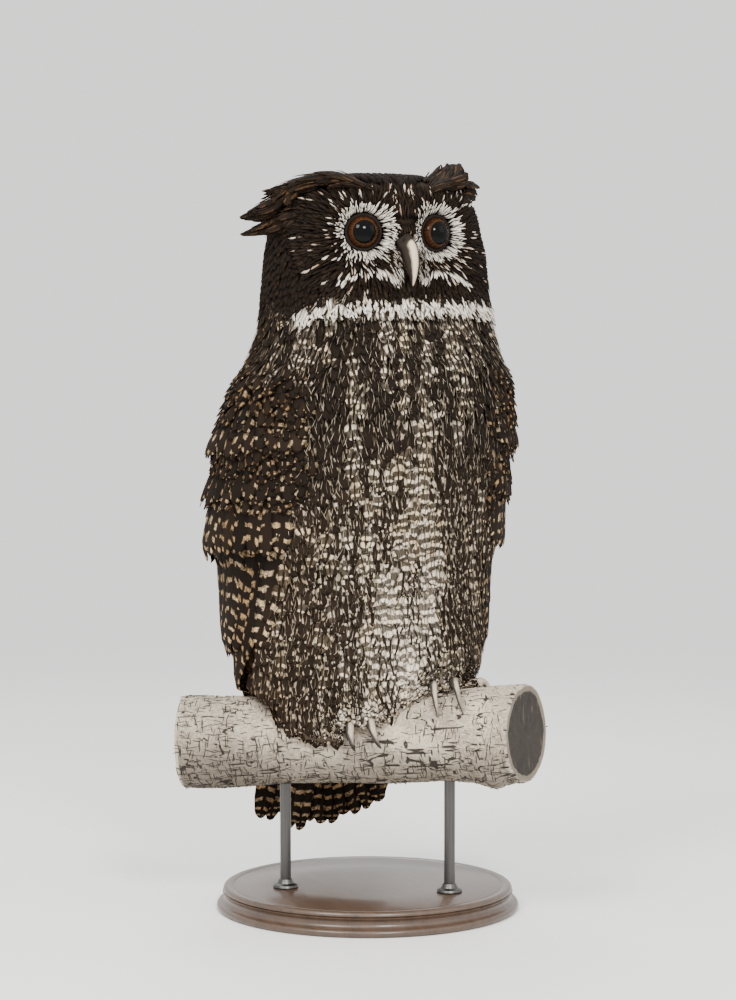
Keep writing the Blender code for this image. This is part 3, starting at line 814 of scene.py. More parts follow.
def painted(mesh, *values):
    """Gives a mesh's points what the plumage reads, in the order of PAINT."""
    for name, rows in zip(PAINT, values):
        if name in ("ground", "mark"):
            full = np.concatenate([rows, np.ones((len(rows), 1))], axis=1)
            note(mesh, name, "FLOAT_COLOR", full)
        else:
            note(mesh, name, "FLOAT_VECTOR", rows)


def loop_points(mesh):
    """The point that each corner of a mesh's faces is at."""
    corners = np.zeros(len(mesh.loops), np.int32)
    mesh.loops.foreach_get("vertex_index", corners)
    return corners


def unwrap(mesh, places):
    """Writes the map named OFBake, from one place for each point."""
    bake = mesh.uv_layers.get("OFBake") or mesh.uv_layers.new(name="OFBake")
    bake.data.foreach_set("uv", places[loop_points(mesh)].astype(np.float32).ravel())


def placed(name, mesh, replaced=()):
    """A piece of the model: linked and riding on the body, with the parts that it replaces hidden.
    """
    item = in_scene(name, mesh)
    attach(item, "root")
    if replaced:
        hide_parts(*replaced)


def vane_halves(half, share, point, ragged, rng):
    """Widths left and right of each spine: full past the middle, then round or pointed."""
    shape = (0.40 + 0.60 * smooth(0, 0.45, share)) * np.sqrt(np.clip(1 - share**point, 0, 1))
    shaken = 1 + ragged * share[None, :, None] * rng.uniform(-1, 1, (len(half), len(share), 2))
    return half[:, None, None] * shape[None, :, None] * shaken


def lie(share, sink, lift):
    """Height over the chart along a spine: from under the coat up to the tip."""
    return -sink * (1 - share) ** 1.4 + lift * share**2


def column_rows(low, high, step, across, rng, span=180.0, shake=0.3):
    """Staggered places round the body from low to high, as angles and heights."""
    side = side_chart()
    angles, heights = [], []
    for row, height in enumerate(np.arange(low, high, step)):
        ring = side.at(np.arange(-180, 180, 30.0), height)
        radius = np.linalg.norm(ring[:, :2], axis=-1).mean()
        count = max(8, int(2 * math.pi * radius / across))
        gap = 360.0 / count
        line = (np.arange(count) + 0.5 * (row % 2)) * gap - 180
        line = line + rng.uniform(-shake, shake, count) * gap
        angles.append(line)
        heights.append(height + rng.uniform(-shake, shake, count) * step)
    angles, heights = np.concatenate(angles), np.concatenate(heights)
    kept = np.abs(angles) <= span
    return angles[kept], heights[kept]


def laid_down(angle, height, length, share, sink, lift, slant, bend):
    """Spines on the side chart that run down the body. Slant is radians backwards."""
    side = side_chart()
    radius = np.linalg.norm(side.at(angle, height)[:, :2], axis=-1)
    turned = np.degrees(length * np.sin(slant) / radius) * np.sign(angle)
    curve = np.degrees(length * bend / radius)
    u = angle[:, None] + turned[:, None] * share + curve[:, None] * share**2
    v = height[:, None] - (length * np.cos(slant))[:, None] * share
    normal = side.normal(u, v)
    return side.at(u, v) + normal * lie(share, sink, lift[:, None])[..., None], normal


# Markings

def colours():
    group = bpy.context.scene.eagle_owl.colours
    return {
        name: np.array(getattr(group, name))
        for name in ("ink", "umber", "rust", "buff", "cream", "white")
    }


def band_middle(angle):
    """Height of the white throat band, which sinks towards its ends."""
    return 0.5505 - 0.016 * smooth(34, 70, -angle) - 0.004 * smooth(20, 75, angle)


def throat_band(points):
    """How white the throat is: a band across the front with ragged edges."""
    angle = round_angle(points)
    ragged = (NOISE.at(points, 0.008) - 0.5) * 0.006
    off = np.abs(points[:, 2] + ragged - band_middle(angle))
    within = smooth(72, 62, angle) * smooth(64, 54, -angle)
    return (1 - smooth(0.0055, 0.0085, off)) * within


def patterns(bars, streak, count, phase, mottle=0.0, contrast=1.0):
    """One row of pattern numbers for each feather."""
    columns = np.broadcast_arrays(bars, streak, count, phase, mottle, contrast)
    return np.stack(columns, axis=-1).astype(float)


def in_step(pattern, spine, length, spacing, jitter, rng):
    """Bars so far apart, that nearly meet those of the feathers beside."""
    pattern[:, 2] = length / spacing
    pattern[:, 3] = -spine[:, -1, 2] / spacing - pattern[:, 2]
    pattern[:, 3] += rng.uniform(-jitter, jitter, len(pattern))
    return pattern


def body_marks(points, rng):
    """Ground colour, mark colour and pattern of the column's feathers, at their tips."""
    c = colours()
    count = len(points)
    angle, height = round_angle(points), points[:, 2]
    away = np.abs(angle)
    patch, luck = NOISE.at(points, 0.03), rng.random(count)

    # Bold feathers stand in narrow rows that run down the body
    wavy = angle * 0.0016 + 0.004 * (NOISE.at(points, 0.05) - 0.5)
    rows = NOISE.at(np.stack([wavy, 0 * height, height * 0.14], axis=-1), 0.0080)
    bold = rows + rng.normal(0, 0.07, count) > 0.47 - 0.10 * smooth(8, 40, away)

    # How much each belongs to the back, the upper breast, the pale belly and the head
    thigh = 14 * smooth(0.34, 0.26, height)
    back = smooth(58 + thigh, 86 + thigh, away + 16 * (patch - 0.5))
    upper = smooth(0.355, 0.450, height + 0.03 * (patch - 0.5))
    pale = smooth(40, 2, away + 14 * (patch - 0.5)) * smooth(0.350, 0.270, height)
    pale = 0.72 * pale * smooth(0.165, 0.225, height + 0.02 * (patch - 0.5))
    rise = height - band_middle(angle) - 0.0085
    head = smooth(-0.035 * back, 0.006 + 0.035 * back, rise + 0.02 * back * (patch - 0.5))
    rear = smooth(60, 105, away)

    # Ground and mark colours
    front = mixed(c["cream"], c["white"], 0.10 + 0.60 * luck)
    warm = (0.08 + 0.65 * smooth(25, 90, away)) * (0.25 + 0.7 * patch)
    front = mixed(front, mixed(c["buff"], c["rust"], luck), warm)
    front = mixed(front, c["white"], 0.50 * pale)
    brown = mixed(mixed(c["umber"], c["rust"], 0.10 + 0.55 * luck), c["buff"], 0.5 * (luck > 0.7))
    ground = mixed(front, brown, back)
    ground = mixed(ground, mixed(c["umber"], c["rust"], (0.22 + 0.45 * rear) * luck), head)
    mark = mixed(c["ink"], c["umber"], 0.15 + 0.45 * luck * (1 - upper))

    # Bars, streaks and how clear they are
    flank = smooth(10, 44, away)
    bars = 0.64 + 0.15 * flank + 0.09 * upper - 0.19 * pale + 0.09 * rng.normal(size=count)
    streak = np.where(bold, 0.50 + 0.45 * upper, 0.12 + 0.16 * upper) + 0.16 * flank
    streak = streak * (1 - 0.65 * pale) * (1 - back) + 0.62 * back
    contrast = np.where(bold, 0.98, 0.93) - 0.12 * pale
    bars = bars * (1 - head) + 0.42 * head
    streak = streak * (1 - head) + (0.78 - 0.20 * rear) * head

    # A dark chin over the white throat band
    chin = smooth(0.561, 0.567, height) * smooth(60, 45, away)
    ground = mixed(ground, c["umber"], chin * 0.8)
    white = throat_band(points)
    below = smooth(0.002, -0.010, height - band_middle(angle))
    fleck = rng.random(count) < 0.09 + 0.30 * below
    ground = mixed(ground, np.where(fleck[:, None], c["umber"], c["white"]), white)
    bars, streak = bars * (1 - white), streak * (1 - white) - 0.2 * white
    contrast = contrast * (1 - white)
    mottle = (0.25 + 0.55 * np.maximum(back, head)) * (1 - white) * (1 - 0.7 * pale)
    return ground, mark, patterns(bars, streak, 3.4, luck, mottle, contrast)


# Skin

def remeshed(name, bm, voxel, rounds):
    """A closed even mesh over the solids in bm, a little relaxed."""

    def build(modifiers):
        cells = modifiers.new("Cells", "REMESH")
        cells.mode, cells.voxel_size = "VOXEL", voxel
        relax = modifiers.new("Relax", "SMOOTH")
        relax.factor, relax.iterations = 0.5, rounds

    return modified(mesh_of(name, bm), build)


def read_vectors(items, field):
    """One vector of each item, as rows."""
    values = np.zeros(len(items) * 3, np.float32)
    items.foreach_get(field, values)
    return values.reshape(-1, 3).astype(float)


def mesh_points(mesh, field="co"):
    return read_vectors(mesh.vertices, field)


def foot_middle(side_name):
    return mesh_points(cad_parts["foot_" + side_name].data).mean(axis=0)


@cache
def outer_surface():
    """The flesh solids' outside as one closed mesh, and its tree.

    The tail, the ear tufts and the wing tips are left out.
    """
    bm = joined(("head", "neck", "trunk") + SHANKS)
    wings = joined(("wing_left", "wing_right"))
    kept = bmesh.ops.bisect_plane(
        wings, geom=wings.verts[:] + wings.edges[:] + wings.faces[:],
        plane_co=(0, 0, WING_CUT), plane_no=(0, 0, 1), clear_inner=True,
    )
    rim = [e for e in kept["geom_cut"] if isinstance(e, bmesh.types.BMEdge)]
    bmesh.ops.edgeloop_fill(wings, edges=rim)
    bm.from_mesh(mesh_of("wings_cut", wings))
    mesh = remeshed("outside", bm, SKIN_CELL, 6)
    bm = bmesh.new()
    bm.from_mesh(mesh)
    bmesh.ops.triangulate(bm, faces=bm.faces)
    tree = BVHTree.FromBMesh(bm)
    bm.free()
    return mesh, tree


def spread_roots(mesh, wanted, gap, rng):
    """Places on a mesh about a gap apart, where the function wanted allows."""
    mesh.calc_loop_triangles()
    corners = np.zeros(len(mesh.loop_triangles) * 3, np.int32)
    mesh.loop_triangles.foreach_get("vertices", corners)
    points = mesh_points(mesh)
    a, b, c = (points[corners.reshape(-1, 3)[:, i]] for i in range(3))
    chosen = wanted((a + b + c) / 3)
    a, b, c = a[chosen], b[chosen], c[chosen]
    area = np.linalg.norm(np.cross(b - a, c - a), axis=-1) / 2
    tries = int(area.sum() / gap**2 * 5)
    at = rng.choice(len(area), tries, p=area / area.sum())
    s, t = np.sqrt(rng.random(tries)), rng.random(tries)
    places = (
        a[at] * (1 - s)[:, None] + b[at] * (s * (1 - t))[:, None] + c[at] * (s * t)[:, None]
    )
    cells = {}
    kept = []
    for i, cell in enumerate(map(tuple, np.floor(places / gap).astype(int))):
        near = (
            places[j] for k in np.ndindex(3, 3, 3)
            for j in cells.get((cell[0] + k[0] - 1, cell[1] + k[1] - 1, cell[2] + k[2] - 1), ())
        )
        if all(((places[i] - other) ** 2).sum() > gap * gap for other in near):
            cells.setdefault(cell, []).append(i)
            kept.append(i)
    return places[kept]


def make_skin(settings):
    """One closed skin under the coat, with rolled lids round the eyes."""
    mesh = outer_surface()[0].copy()
    mesh.name = "skin"
    points, normals = mesh_points(mesh), mesh_points(mesh, "normal")
    feet = tree_of(SHANKS)
    shallow = 0.0022
    depth = np.full(len(points), settings.coat.depth)
    on_head = smooth(0.52, 0.57, points[:, 2])
    depth = depth * (1 - on_head) + settings.coat.head_depth * on_head
    for i in np.flatnonzero(points[:, 2] < 0.23):
        gap = feet.find_nearest(Vector(points[i]))[3]
        depth[i] = shallow + (depth[i] - shallow) * float(smooth(0.001, 0.008, gap))
    points = points - normals * depth[:, None]
    mesh.vertices.foreach_set("co", points.astype(np.float32).ravel())
    bm = bmesh.new()
    bm.from_mesh(mesh)
    for side in SIDES.values():
        lids = lid_mesh(side)
        bm.from_mesh(lids)
        bpy.data.meshes.remove(lids)
    bm.to_mesh(mesh)
    bm.free()
    mesh.shade_smooth()
    points = mesh_points(mesh)
    ground, mark, _ = body_marks(points, np.random.default_rng(3))
    lids = np.arange(len(points)) >= len(depth)
    # The skin carries the coat's markings, darkened most of the way to the mark colour and more
    # below 0.24 m near the hem: painted shade for the gaps in the coat.
    shade = mixed(ground, mark, 0.75 + 0.20 * smooth(0.24, 0.20, points[:, 2]))
    shade[lids] = settings.colours.lid
    nothing = np.zeros_like(points)
    painted(mesh, nothing + [0.5, 0.7, 0.5], nothing, nothing, shade, mark)
    mesh.materials.clear()
    mesh.materials.append(plumage_finish())
    placed("skin", mesh, FLESH)


def lid_mesh(side):
    """The two lids of one eye as a rolled ring of bare skin that hugs the ball."""
    angle = np.arange(LIDS_TURN) / LIDS_TURN * 2 * math.pi
    brow = 0.06 * np.clip(np.sin(angle), 0, 1) ** 2
    rings = []
    for spread, rise in (
        (0.975, -0.0006), (0.985, 0.0004), (1.01, 0.0011), (1.06, 0.0015), (1.13, 0.0014),
        (1.22, 0.0009), (1.34, 0.0003), (1.42, -0.0012), (1.30, -0.0030), (1.10, -0.0022),
    ):
        tilt = math.asin(LID_OPENING / EYE_RADIUS) * (spread - brow * (1.5 - spread))
        crease = 0.0003 * math.sin((spread - 1.0) * 34) * (rise > 0.0002)
        reach = EYE_RADIUS + BULGE * (1 - smooth(0.25, 1.05, tilt)) + rise + crease
        out = reach * np.sin(tilt)
        rings.append(np.stack([
            out * np.cos(angle), out * np.sin(angle), reach * np.cos(tilt) + 0 * angle
        ], axis=-1))
    return moved(tube_mesh("lids", np.array(rings)), *eye_frame(side))


# Plumage of head, neck and trunk

def wing_edges():
    """Height, front edge and rear edge of the folded wings, in degrees, from the frame."""
    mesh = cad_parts["wing_left"].data
    points = mesh_points(mesh)
    faces = loop_points(mesh).reshape(-1, 3)
    low, high = points[:, 2].min(), points[:, 2].max()
    rows = []
    for height in np.linspace(low + 0.003, high - 0.003, 36):
        crossed = []
        for i, j in ((0, 1), (1, 2), (2, 0)):
            a, b = points[faces[:, i]], points[faces[:, j]]
            cut = (a[:, 2] - height) * (b[:, 2] - height) < 0
            t = (height - a[cut, 2]) / (b[cut, 2] - a[cut, 2])
            crossed.append(a[cut] + (b[cut] - a[cut]) * t[:, None])
        angle = round_angle(np.concatenate(crossed))
        rows.append((height, angle.min(), angle.max()))
    return np.array(rows)


EDGES = wing_edges()


def wing_limits(height):
    """The wing's front and rear edge at each height, in degrees."""
    return [np.interp(height, EDGES[:, 0], EDGES[:, i]) for i in (1, 2)]


def on_wing(angle, height, inset):
    """True for places inside the wing's outline by inset degrees."""
    front, rear = wing_limits(height)
    away = np.abs(angle)
    within = (away > front + inset) & (away < rear - inset)
    return within & (height > EDGES[0, 0]) & (height < EDGES[-1, 0] - 0.004)


def near_eye(points):
    """Distance from the nearer ring of face feathers' middle, seen from the front."""
    off = np.stack([np.abs(points[:, 0]) - EYE_AHEAD_X, points[:, 2] - EYE.z], axis=-1)
    away = np.linalg.norm(off, axis=-1)
    return np.where(points[:, 1] < -0.015, away, 1.0)


def read_hem():
    """Lowest height of the trunk for each 10 degrees round it, from the frame."""
    points = mesh_points(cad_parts["trunk"].data)
    turn = round_angle(points)
    around = np.arange(-180, 181, 10.0)
    lowest = [points[np.abs((turn - a + 180) % 360 - 180) < 9, 2].min() for a in around]
    return around, np.array(lowest)


HEM = read_hem()


def above_hem(angle, height, length):
    """True where a feather that long ends over the trunk's lower edge, or just below it
    on the right flank, whose feathers hang over the thigh."""
    flank = 0.010 * smooth(22, 10, np.abs(angle + 88))
    return height - length > np.interp(angle, *HEM) + 0.002 - flank


def add_column(
    coat, angle, height, length, half, sink, lift, rng, marks, rings=8, slant=0.0,
    wild=0.12, point=4, ragged=0.16, thick=0.0009, arch=0.30, spacing=None,
):
    """Feathers lying down the body from their roots, marked by where they end."""
    count = len(angle)
    share = stations(rings)
    length = length * rng.uniform(0.85, 1.15, count)
    spine, normal = laid_down(
        angle, height, length, share, sink, slant=rng.normal(slant, wild, count),
        lift=lift + rng.uniform(-0.4, 0.6, count) * 0.001, bend=rng.normal(0, 0.12, count),
    )
    half = half * rng.uniform(0.85, 1.15, count)
    halves = vane_halves(half, share, point, ragged, rng)
    ground, mark, pattern = marks(spine[:, -2], rng)
    if spacing:
        pattern = in_step(pattern, spine, length, spacing, 0.30, rng)
    place = place_round(spine[:, 0])
    coat.add(
        spine, normal, halves, thick, arch, ground, mark, pattern, place, rng.random(count)
    )


def make_body(settings):
    """Breast, belly, flanks, mantle and rump, and the white band on the throat."""
    rng = np.random.default_rng(21)
    size = settings.coat
    front, back = Coat("coat_breast", BROAD), Coat("coat_back", BROAD)
    for low, high, step, across, part in BODY_ROWS:
        angle, height = column_rows(low, high, step, across, rng, shake=0.5)
        root = side_chart().at(angle, height - size.breast_length * part * 0.6)
        free = ~on_wing(angle, height - 0.012, 7) & (throat_band(root) < 0.5)
        free &= above_hem(angle, height, size.breast_length * part * 0.85)
        fore = np.abs(angle) < 88
        for coat, chosen in ((front, free & fore), (back, free & ~fore)):
            a, h = angle[chosen], height[chosen]
            add_column(
                coat, a, h, size.breast_length * part, 0.0080 * part, 0.0065, 0.0010, rng,
                body_marks, ragged=0.10, arch=0.10, point=2.4, thick=0.0006,
                spacing=size.bar_spacing,
            )
    for coat in (front, back):
        coat.piece()
    coat = Coat("coat_throat")
    angle, height = column_rows(0.540, 0.590, 0.0030, 0.0032, rng, 96, 0.5)
    ends = side_chart().at(angle, height - 0.013)
    white = throat_band(ends) > 0.4
    add_column(
        coat, angle[white], height[white], 0.0165, 0.0017, 0.003, 0.0026, rng, body_marks,
        ragged=0.3, arch=0.3, point=2.4, rings=7, thick=0.0005, wild=0.34,
    )
    coat.piece()


def make_down(settings):
    """Loose barbs that soften the breast, flanks, throat and nape."""
    rng = np.random.default_rng(29)
    coat = Coat("coat_down")
    angle, height = column_rows(0.160, 0.556, 0.0050, 0.0048, rng, 180, 0.5)
    free = ~on_wing(angle, height - 0.006, 2) & ((np.abs(angle) < 92) | (height > 0.45))
    free &= above_hem(angle, height, 0.006)
    a, h = angle[free], height[free]
    add_column(
        coat, a, h, 0.0095, 0.00028, 0.0004, 0.0018, rng, down_marks, rings=5,
        thick=0.00025, arch=0.0, point=1.5, wild=0.20, ragged=0.0,
    )
    coat.piece()


def down_marks(points, rng):
    """Mostly the mark colours of the feathers beneath, with no marks of their own."""
    ground, mark, pattern = body_marks(points, rng)
    dull = 1 - 0.75 * (rng.random(len(points)) < 0.30 + 0.5 * throat_band(points))
    ground = mixed(ground, mark, dull * rng.uniform(0.6, 1.0, len(points)))
    pattern[:, :2] = -0.3
    pattern[:, 4:] = 0
    return ground, mark, pattern


def make_head(settings):
    """Crown, sides and back of the head and the nape, in small close feathers."""
    rng = np.random.default_rng(22)
    mesh, tree = outer_surface()
    for name, low, high in (("coat_crown", CROWN_LOW, 1.0), ("coat_head", CHEEK_LOW, CROWN_LOW)):
        coat = Coat(name)

        def wanted(points):
            angle = np.abs(round_angle(points))
            height = points[:, 2]
            kept = (height > low) & (height <= high) & (near_eye(points) > DISC_RADIUS)
            return kept & ((angle > 50) | (height < JAW_HEIGHT) | (height > CROWN_LOW))

        roots = spread_roots(mesh, wanted, 0.0042, rng)
        count = len(roots)
        top = smooth(CROWN_LOW, 0.668, roots[:, 2])[:, None]
        over = roots * [8, 0, 0] + [0, 0.75, 0]
        headings = over * top + np.array([0, 0.35, -1.0]) * (1 - top)
        headings = headings + rng.normal(0, 0.13, (count, 3))
        share = stations(6)
        length = settings.coat.head_length * rng.uniform(0.85, 1.15, count)
        spine, normal = traced(tree, roots, headings, length, share, 0.0030, 0.0006)
        halves = vane_halves(0.0034 * rng.uniform(0.85, 1.15, count), share, 3.6, 0.12, rng)
        ground, mark, pattern = body_marks(spine[:, -2], rng)
        place = place_over(spine[:, 0])
        coat.add(
            spine, normal, halves, 0.0005, 0.15, ground, mark, pattern, place,
            rng.random(count),
        )
        coat.piece()


def face_spines(x, z, way_x, way_z, length, share, sink, lift):
    """Spines on the face chart, straight along their headings."""
    flat = face_chart()
    u = x[:, None] + (way_x * length)[:, None] * share
    v = z[:, None] + (way_z * length)[:, None] * share
    normal = flat.normal(u, v)
    return flat.at(u, v) + normal * lie(share, sink, lift)[None, :, None], normal


# Face

def face_marks(radius, turn, tips, rng):
    """Pale rays round the eye, a pale moustache line below, and dark between."""
    c = colours()
    count = len(radius)
    luck = rng.random(count)
    inner = smooth(0.0, -0.9, np.cos(turn))
    edge = 0.0270 + 0.0030 * inner + 0.0015 * np.abs(np.cos(turn)) + rng.normal(0, 0.0015, count)
    ray = 0.90 * smooth(edge + 0.0018, edge - 0.0015, radius) - 0.22 * smooth(0.020, 0.027, radius)
    aside = np.abs(tips[:, 0])
    off = np.abs(tips[:, 2] - np.interp(aside, *MOUSTACHE))
    line = smooth(0.0038, 0.0018, off) * smooth(0.009, 0.013, aside) * smooth(0.074, 0.058, aside)
    low = smooth(0.1, -0.6, np.sin(turn)) * smooth(0.050, 0.036, radius)
    brow = smooth(0.5, 0.8, np.sin(turn)) * smooth(0.034, 0.038, radius)
    share = np.clip(np.maximum(ray, line * 0.94), 0.045 + 0.17 * low + 0.10 * brow, 1)
    pale = luck < share
    clear = smooth(0.2, 0.6, ray + line)
    warm = mixed(c["rust"], c["white"], rng.uniform(0.2, 1.0, count))
    tone = mixed(warm, c["white"], clear)
    dark = mixed(c["ink"], c["umber"], 0.8 * rng.random(count))
    ground = np.where(pale[:, None], tone, dark)
    streak = np.where(pale, -0.2, 0.4)
    return ground, dark, patterns(np.where(pale, -0.2, 0.2), streak, 3.0, luck)


def ring_places(rng):
    """Roots in rings round an eye: radius and turn from the outer side."""
    radii, turns = [], []
    radius, row = RING_FIRST, 0
    while radius < RING_LAST:
        gap = 0.00135 + 0.00115 * float(smooth(0.020, 0.050, radius))
        count = int(2 * math.pi * radius / gap)
        line = (np.arange(count) + 0.5 * (row % 2)) / count * 2 * math.pi
        turns.append(line + rng.uniform(-0.3, 0.3, count) * gap / radius)
        radii.append(radius + rng.uniform(-0.4, 0.4, count) * 0.002)
        radius += 0.0021 + 0.0016 * float(smooth(0.020, 0.050, radius))
        row += 1
    return np.concatenate(radii), np.concatenate(turns)


def make_face(settings):
    """The facial disc: fine loose feathers that spread from each eye."""
    rng = np.random.default_rng(24)
    coat = Coat("coat_face")
    share = stations(6, 1.1)
    for side in SIDES.values():
        radius, turn = ring_places(rng)
        x = EYE_AHEAD_X + radius * np.cos(turn)
        z = EYE.z + radius * np.sin(turn)
        kept = (x > DISC_ACROSS[0]) & (x < DISC_ACROSS[1])
        kept &= (z > DISC_HEIGHTS[0]) & (z < DISC_HEIGHTS[1])
        on_bill = (np.abs(z - 0.600) < 0.018) & (x < 0.0085)
        kept &= ~on_bill
        radius, turn, x, z = radius[kept], turn[kept], x[kept], z[kept]
        count = len(x)
        middle = smooth(0.022, 0.004, x)
        way_x = np.cos(turn) * (1 - middle) + 0.10 * middle
        way_z = np.sin(turn) * (1 - middle) + np.where(z > 0.632, 1.0, -1.0) * middle
        tangle = rng.normal(0, 0.16, count)
        way_x, way_z = (
            way_x * np.cos(tangle) - way_z * np.sin(tangle),
            way_x * np.sin(tangle) + way_z * np.cos(tangle),
        )
        size = np.hypot(way_x, way_z)
        length = 0.0075 + 0.0065 * smooth(0.016, 0.045, radius)
        length = length * rng.uniform(0.8, 1.2, count)
        length = np.minimum(length, (DISC_TOP_END - z) / np.maximum(way_z / size, 0.05))
        length = np.minimum(length, (DISC_OUTER_END - x) / np.maximum(way_x / size, 0.05))
        half = (0.00075 + 0.0011 * smooth(0.020, 0.050, radius)) * rng.uniform(0.8, 1.2, count)
        spine, normal = face_spines(
            x * side, z, side * way_x / size, way_z / size, length, share, 0.0020, 0.0014
        )
        halves = vane_halves(half, share, 3, 0.25, rng)
        ends = radius + length * 0.8
        ground, mark, pattern = face_marks(ends, turn, spine[:, -2], rng)
        place = place_over(spine[:, 0], FACE_MIDDLE)
        coat.add(
            spine, normal, halves, 0.0004, 0.35, ground, mark, pattern, place, rng.random(count)
        )
    coat.piece()
    make_bristles()


def bristle_bed():
    """A patch of skin at each side of the bill, with the way that its bristles point."""
    flat = face_chart()
    points, faces, headings = [], [], []
    rows, columns = BRISTLE_ROWS, BRISTLE_COLUMNS
    for side in SIDES.values():
        start = len(points)
        for z in np.linspace(*BRISTLE_HEIGHTS, rows):
            low = smooth(0.609, 0.585, z)
            for across in np.linspace(*BRISTLE_ACROSS, columns):
                points.append(flat.at(side * across, z) + flat.normal(side * across, z) * 0.0004)
                headings.append((side * (0.05 - 0.12 * low), -0.62, -0.30 - 0.55 * low))
        for r, k in np.ndindex(rows - 1, columns - 1):
            corner = start + r * columns + k
            faces.append((corner, corner + 1, corner + columns + 1, corner + columns))
    bed = bpy.data.meshes.new("bristle_bed")
    bed.from_pydata([tuple(p) for p in points], [], faces)
    note(bed, "heading", "FLOAT_VECTOR", unit(np.array(headings)))
    return bed


def make_bristles():
    """Hair-like feathers at each side of the bill's base."""
    c = colours()
    mesh = bristle_tree().run(bristle_bed(), {
        "Density": 260000.0, "Length": BRISTLE_LENGTH, "Width": 0.00050, "Seed": 5,
        "Material": plumage_finish(),
    })
    mesh.name = "coat_bristles"
    made = mesh_points(mesh)
    roots = read_vectors(mesh.attributes["root"].data, "vector")
    share = np.clip(np.linalg.norm(made - roots, axis=-1) / BRISTLE_LENGTH, 0, 1)
    pale = NOISE.at(roots, 0.0006) + 0.4 * smooth(0.596, 0.582, roots[:, 2]) > 0.72
    ground = np.where(pale[:, None], c["white"], c["umber"])
    ground = mixed(ground, c["ink"], 0.7 * smooth(0.5, 1.0, share))
    vane = np.stack([0 * share + 0.5, 0.4 + 0.6 * share, share], axis=-1)
    nothing = np.zeros_like(made)
    painted(mesh, vane, nothing + [-0.3, -0.3, 1], nothing, ground, ground)
    place = place_over(roots, FACE_MIDDLE)
    place[:, 1] += (share - 0.5) * BAKE_PATCH
    unwrap(mesh, place)
    placed("coat_bristles", mesh)


# Wings, tail and ear tufts

def quill_colours(warm, pale, brown):
    """Ground and mark of quills and coverts, by shares of buff, of cream and of brown."""
    c = colours()
    ground = mixed(mixed(c["rust"], c["buff"], warm), c["cream"], pale)
    return ground, mixed(c["ink"], c["umber"], brown)


def wing_group(coat, side, starts, ends, half, levels, marks, rng, point):
    """Feathers across the wing from (share across, height) to (share across, height)."""
    share = stations(12)
    across0, height0 = (np.asarray(v, float)[:, None] for v in starts)
    across1, height1 = (np.asarray(v, float)[:, None] for v in ends)
    count = len(across0)
    height = height0 + (height1 - height0) * share
    across = across0 + (across1 - across0) * share**1.2
    front, rear = wing_limits(height)
    angle = side * (front + (rear - front) * across)
    sink, lift = levels
    flat = side_chart()
    normal = flat.normal(angle, height)
    flare = 0.0035 * np.exp(-(((np.abs(angle[:, -1:]) - 112) / 16) ** 2))
    rise = lie(share, sink, np.asarray(lift)[:, None] + flare)
    spine = flat.at(angle, height) + normal * rise[..., None]
    luck = rng.random(count)
    ground, mark = quill_colours(0.6, 0.1 + 0.7 * luck, 0.45 * rng.random(count))
    bars, streak, spacing = marks
    pattern = patterns(
        bars + 0.07 * rng.normal(size=count), streak + 0.10 * rng.normal(size=count),
        1.0, 0.0, 0.75,
    )
    length = (height0 - height1)[:, 0]
    pattern = in_step(pattern, spine, length, spacing, 0.34, rng)
    halves = vane_halves(np.broadcast_to(half, count), share, point, 0.06, rng)
    place = place_round(spine[:, 0])
    coat.add(spine, normal, halves, 0.0009, 0.12, ground, mark, pattern, place, luck)


def make_wing(side_name):
    """One folded wing: tiers of coverts over the quills, and the shoulder's over those."""
    side = SIDES[side_name]
    rng = np.random.default_rng(30 + side)
    coat = Coat("coat_wing_" + side_name, BROAD)

    # The primaries' ends, which fold to the wing's tip
    k = np.linspace(0, 1, 9)
    wing_group(
        coat, side, (0.16 + 0.55 * k, 0.34 - 0.03 * k), (0.14 + 0.30 * k, 0.232 - 0.129 * k**0.8),
        0.0125, (0.004, 0.0002 + 0.0004 * k), (0.82, 0.28, 0.0145), rng, 4,
    )

    # The secondaries, then three tiers of coverts over them
    k = np.linspace(0, 1, 13)
    wing_group(
        coat, side, (0.05 + 0.90 * k, 0.38 + 0.01 * k),
        (0.06 + 0.90 * k, WING_TIPS["secondaries"] - 0.030 * k + rng.normal(0, 0.002, len(k))),
        0.0155, (0.007, 0.0010 + 0.0022 * k), (0.83, 0.34, 0.0135), rng, 4,
    )
    for name, count, length, half, lift, marks in COVERT_ROWS:
        k = (np.arange(count) + 0.5) / count
        tips = WING_TIPS[name] - 0.016 * (k - 0.3) + rng.normal(0, 0.0018, count)
        wing_group(
            coat, side, (0.02 + 0.96 * k, tips + length), (0.01 + 0.98 * k, tips),
            half, (0.007, lift + 0.0008 * k), marks, rng, 2.8,
        )
    coat.piece()

    # Small coverts at the wing's bend, and longer feathers that hang from the shoulder
    coat = Coat("coat_shoulder_" + side_name)
    angle, height = column_rows(0.400, 0.520, 0.0090, 0.0110, rng)
    over = (angle * side > 30) & on_wing(angle, height - 0.012, -2) | (
        (angle * side > 50) & (angle * side < 120) & (height > 0.488)
    )
    angle, height = angle[over], height[over]
    add_column(
        coat, angle, height, 0.027, 0.0082, 0.005, 0.0030, rng, shoulder_marks, ragged=0.16,
    )
    row, column = np.divmod(np.arange(54), 6)
    height = 0.500 - 0.132 * row / 8 + rng.normal(0, 0.003, len(row))
    angle = side * (122 + 8.5 * column + rng.normal(0, 1.5, len(row)))
    add_column(
        coat, angle, height, 0.050, 0.0120, 0.005, 0.0042, rng, shoulder_marks,
        rings=9, ragged=0.14, slant=0.05,
    )
    coat.piece()


def make_wings(settings):
    """Both folded wings."""
    for side_name in SIDES:
        make_wing(side_name)


